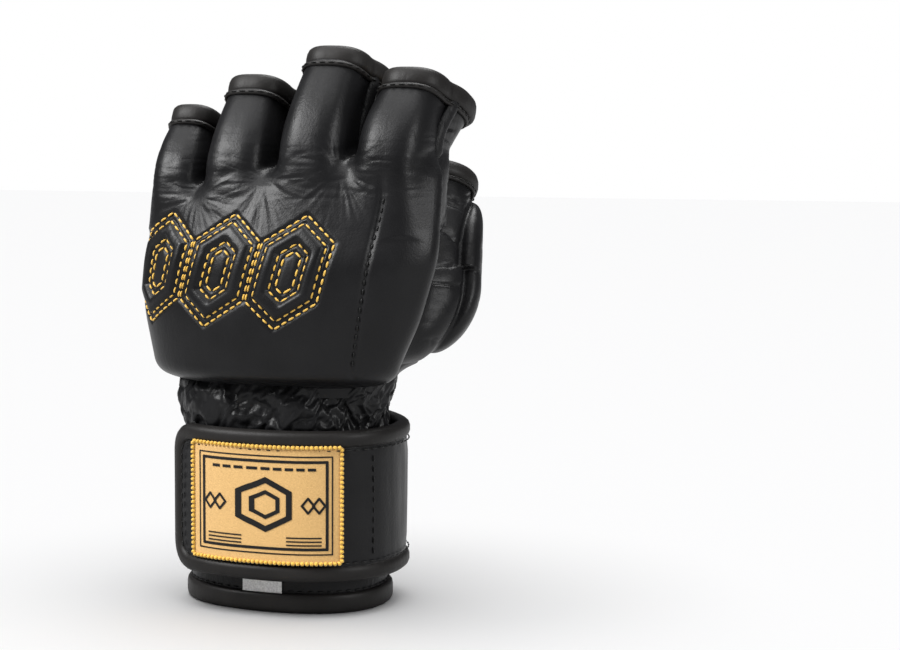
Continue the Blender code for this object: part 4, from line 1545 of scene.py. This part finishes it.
def build_label():
    frame["nodes"]["label"].material_slots[0].material = MATERIALS["foam"]
    cloth, nodes, links, principled = shader("gold_woven_label", (0.62, 0.42, 0.17), 0.6, 0.3)
    weave = texture(nodes, links, "Noise", 2200, 2, object_space(nodes, links, (1, 1, 3)))
    colour = ramp(nodes, links, weave.outputs["Fac"],
                  ((0.3, (0.50, 0.30, 0.105)), (0.7, (0.70, 0.44, 0.17))))
    links.new(colour, principled.inputs["Base Color"])
    links.new(bump(nodes, links, weave.outputs["Fac"], 0.5, 0.0002), principled.inputs["Normal"])
    principled.inputs["Sheen Weight"].default_value = 0.25
    us = np.linspace(*LABEL_ANGLES, 60)
    vs = np.linspace(*LABEL_Z, 24)
    outer = [strap_place(us, v, LABEL_FACE + label_wave(us)) for v in vs]
    inner = [strap_place(us, v, LABEL_BACK) for v in vs[::-1]]
    points = np.concatenate(outer + inner)
    faces = grid_faces(len(vs) * 2, len(us), False)
    patch = new_object("woven_label", points, faces, cloth)
    attach(patch, "strap_tip", "label", slot="woven_label")
    build_label_print()
    border = []
    for z in LABEL_Z:
        border.append([(u, z) for u in np.linspace(*LABEL_ANGLES, 40)])
    for u in LABEL_ANGLES:
        border.append([(u, z) for z in np.linspace(*LABEL_Z, 30)])
    lines = []
    for edge in border:
        edge = np.array(edge)
        path = strap_place(edge[:, 0], edge[:, 1], LABEL_EDGE)
        lines.append(stitch_line(path, strap_out(edge[:, 0]), "overlock"))
    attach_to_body(stitches("label_overlock", lines, "overlock"), "strap_tip")


def label_strip(a, b, width):
    """A printed bar between two places (angle, height) on the label."""
    a, b = np.array(a, float), np.array(b, float)
    per_degree = 0.66  # millimetres along the strap
    way = (b - a) * (per_degree, 1)
    way /= np.linalg.norm(way)
    side = np.array((-way[1], way[0])) * width / 2 / (per_degree, 1)
    reach = way * width * 0.29 / (per_degree, 1)
    spots = a - reach + (b - a + 2 * reach) * np.linspace(0, 1, 12)[:, None]
    flat = np.concatenate([spots - side, spots + side])
    height = LABEL_PRINT + label_wave(flat[:, 0])
    return strap_place(flat[:, 0], flat[:, 1], height), grid_faces(2, 12, False)


def build_label_print():
    """A double frame, a leaning hexagon and rows of bars and lozenges in black thread."""
    left, right = LABEL_ANGLES
    low, high = LABEL_Z
    middle = (left + right) / 2
    centre_z = 39.8
    bars = []
    for inset, width in ((3.2, 0.5), (5.0, 1.0)):
        corners = [(left + inset * 1.5, low + inset), (right - inset * 1.5, low + inset),
                   (right - inset * 1.5, high - inset), (left + inset * 1.5, high - inset)]
        bars += [(corners[k], corners[(k + 1) % 4], width) for k in range(4)]
    for radius, width in ((8.6, 1.9), (4.4, 1.3)):
        turns = [math.radians(60 * k) for k in range(6)]
        ring = [(middle + radius * 1.5 * math.sin(turn), centre_z + radius * math.cos(turn))
                for turn in turns]
        bars += [(ring[k], ring[(k + 1) % 6], width) for k in range(6)]
    for k in range(9):
        x = middle + (k - 4) * 5.6
        bars.append(((x - 1.6, 52.4), (x + 1.6, 52.4), 1.0))
    for side in (-1, 1):
        for k in range(2):
            x = middle + side * (20.5 + 5.5 * k)
            lozenge = [(x, centre_z + 2.6), (x + 3.0, centre_z), (x, centre_z - 2.6), (x - 3.0, centre_z)]
            bars += [(lozenge[i], lozenge[(i + 1) % 4], 0.8) for i in range(4)]
        for k in range(3):
            z = 27.2 + 1.3 * (k - 1)
            bars.append(((middle + side * 10, z), (middle + side * 27, z), 0.5))
    points, faces, total = [], [], 0
    for a, b, width in bars:
        strip, quads = label_strip(a, b, width)
        points.append(strip)
        faces.append(quads + total)
        total += len(strip)
    points, faces = np.concatenate(points), np.concatenate(faces)
    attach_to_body(new_object("label_print", points, faces, MATERIALS["black_thread"]), "strap_tip")


# ---------------------------------------------------------------- building it all

build_skin()
build_emblem_stitches()
build_seam_stitches()
build_rims()
build_fourchettes()
build_palm()
build_linings()
build_strap()
build_cuff()
build_gusset()
build_label()


def camera():
    """The view from a little to the thumb side of the back, with a long lens."""
    data = bpy.data.cameras.new("camera")
    made = bpy.data.objects.new("camera", data)
    bpy.context.scene.collection.objects.link(made)
    distance, turn = 0.725, math.radians(22)
    aim = Vector((0.0, 0.0, 0.098))
    place = aim + Vector((math.sin(turn) * distance, -math.cos(turn) * distance, 0.072))
    made.location = place
    made.rotation_euler = (aim - place).to_track_quat("-Z", "Y").to_euler()
    data.lens = 80
    data.shift_x = 0.148
    bpy.context.scene.camera = made


def lights():
    """A white surround that the camera sees, dimmer in what the leather mirrors, and three soft boxes."""
    world = bpy.data.worlds.new("studio")
    world.use_nodes = True
    nodes, links = world.node_tree.nodes, world.node_tree.links
    background = nodes["Background"]
    seen = nodes.new("ShaderNodeLightPath")
    mix = nodes.new("ShaderNodeMix")
    mix.data_type = "RGBA"
    mix.inputs["A"].default_value = (0.13, 0.13, 0.135, 1)
    mix.inputs["B"].default_value = (1, 1, 1, 1)
    links.new(seen.outputs["Is Camera Ray"], mix.inputs["Factor"])
    links.new(mix.outputs["Result"], background.inputs["Color"])
    background.inputs["Strength"].default_value = 1.0
    bpy.context.scene.world = world
    bpy.context.scene.view_settings.view_transform = "Standard"
    off_floor = bpy.data.collections.new("off_floor")
    off_floor.objects.link(bpy.data.objects["floor"])
    off_floor.collection_objects[0].light_linking.link_state = "EXCLUDE"
    overhead = bpy.data.lights.new("overhead", "SUN")
    overhead.energy = 3.0
    overhead.angle = 1.2
    bpy.context.scene.collection.objects.link(bpy.data.objects.new("overhead", overhead))
    for name, place, size, power in (
        ("key", (-0.75, -0.75, 0.95), 0.5, 26),
        ("right", (1.1, -0.35, 0.55), 0.4, 7),
        ("top", (0.1, 0.5, 1.3), 0.7, 14),
    ):
        data = bpy.data.lights.new(name, "AREA")
        data.energy = power
        data.size = size
        made = bpy.data.objects.new(name, data)
        made.location = place
        made.rotation_euler = (Vector((0, 0, 0.1)) - Vector(place)).to_track_quat("-Z", "Y").to_euler()
        bpy.context.scene.collection.objects.link(made)
        made.light_linking.receiver_collection = off_floor


def floor():
    mesh = bpy.data.meshes.new("floor")
    mesh.from_pydata([(-4, -4, 0), (4, -4, 0), (4, 4, 0), (-4, 4, 0)], [], [(0, 1, 2, 3)])
    material, _, _, _ = shader("pale_floor", (0.94, 0.94, 0.94), 0.7, 0.2)
    mesh.materials.append(material)
    made = bpy.data.objects.new("floor", mesh)
    bpy.context.scene.collection.objects.link(made)


camera()
floor()
lights()
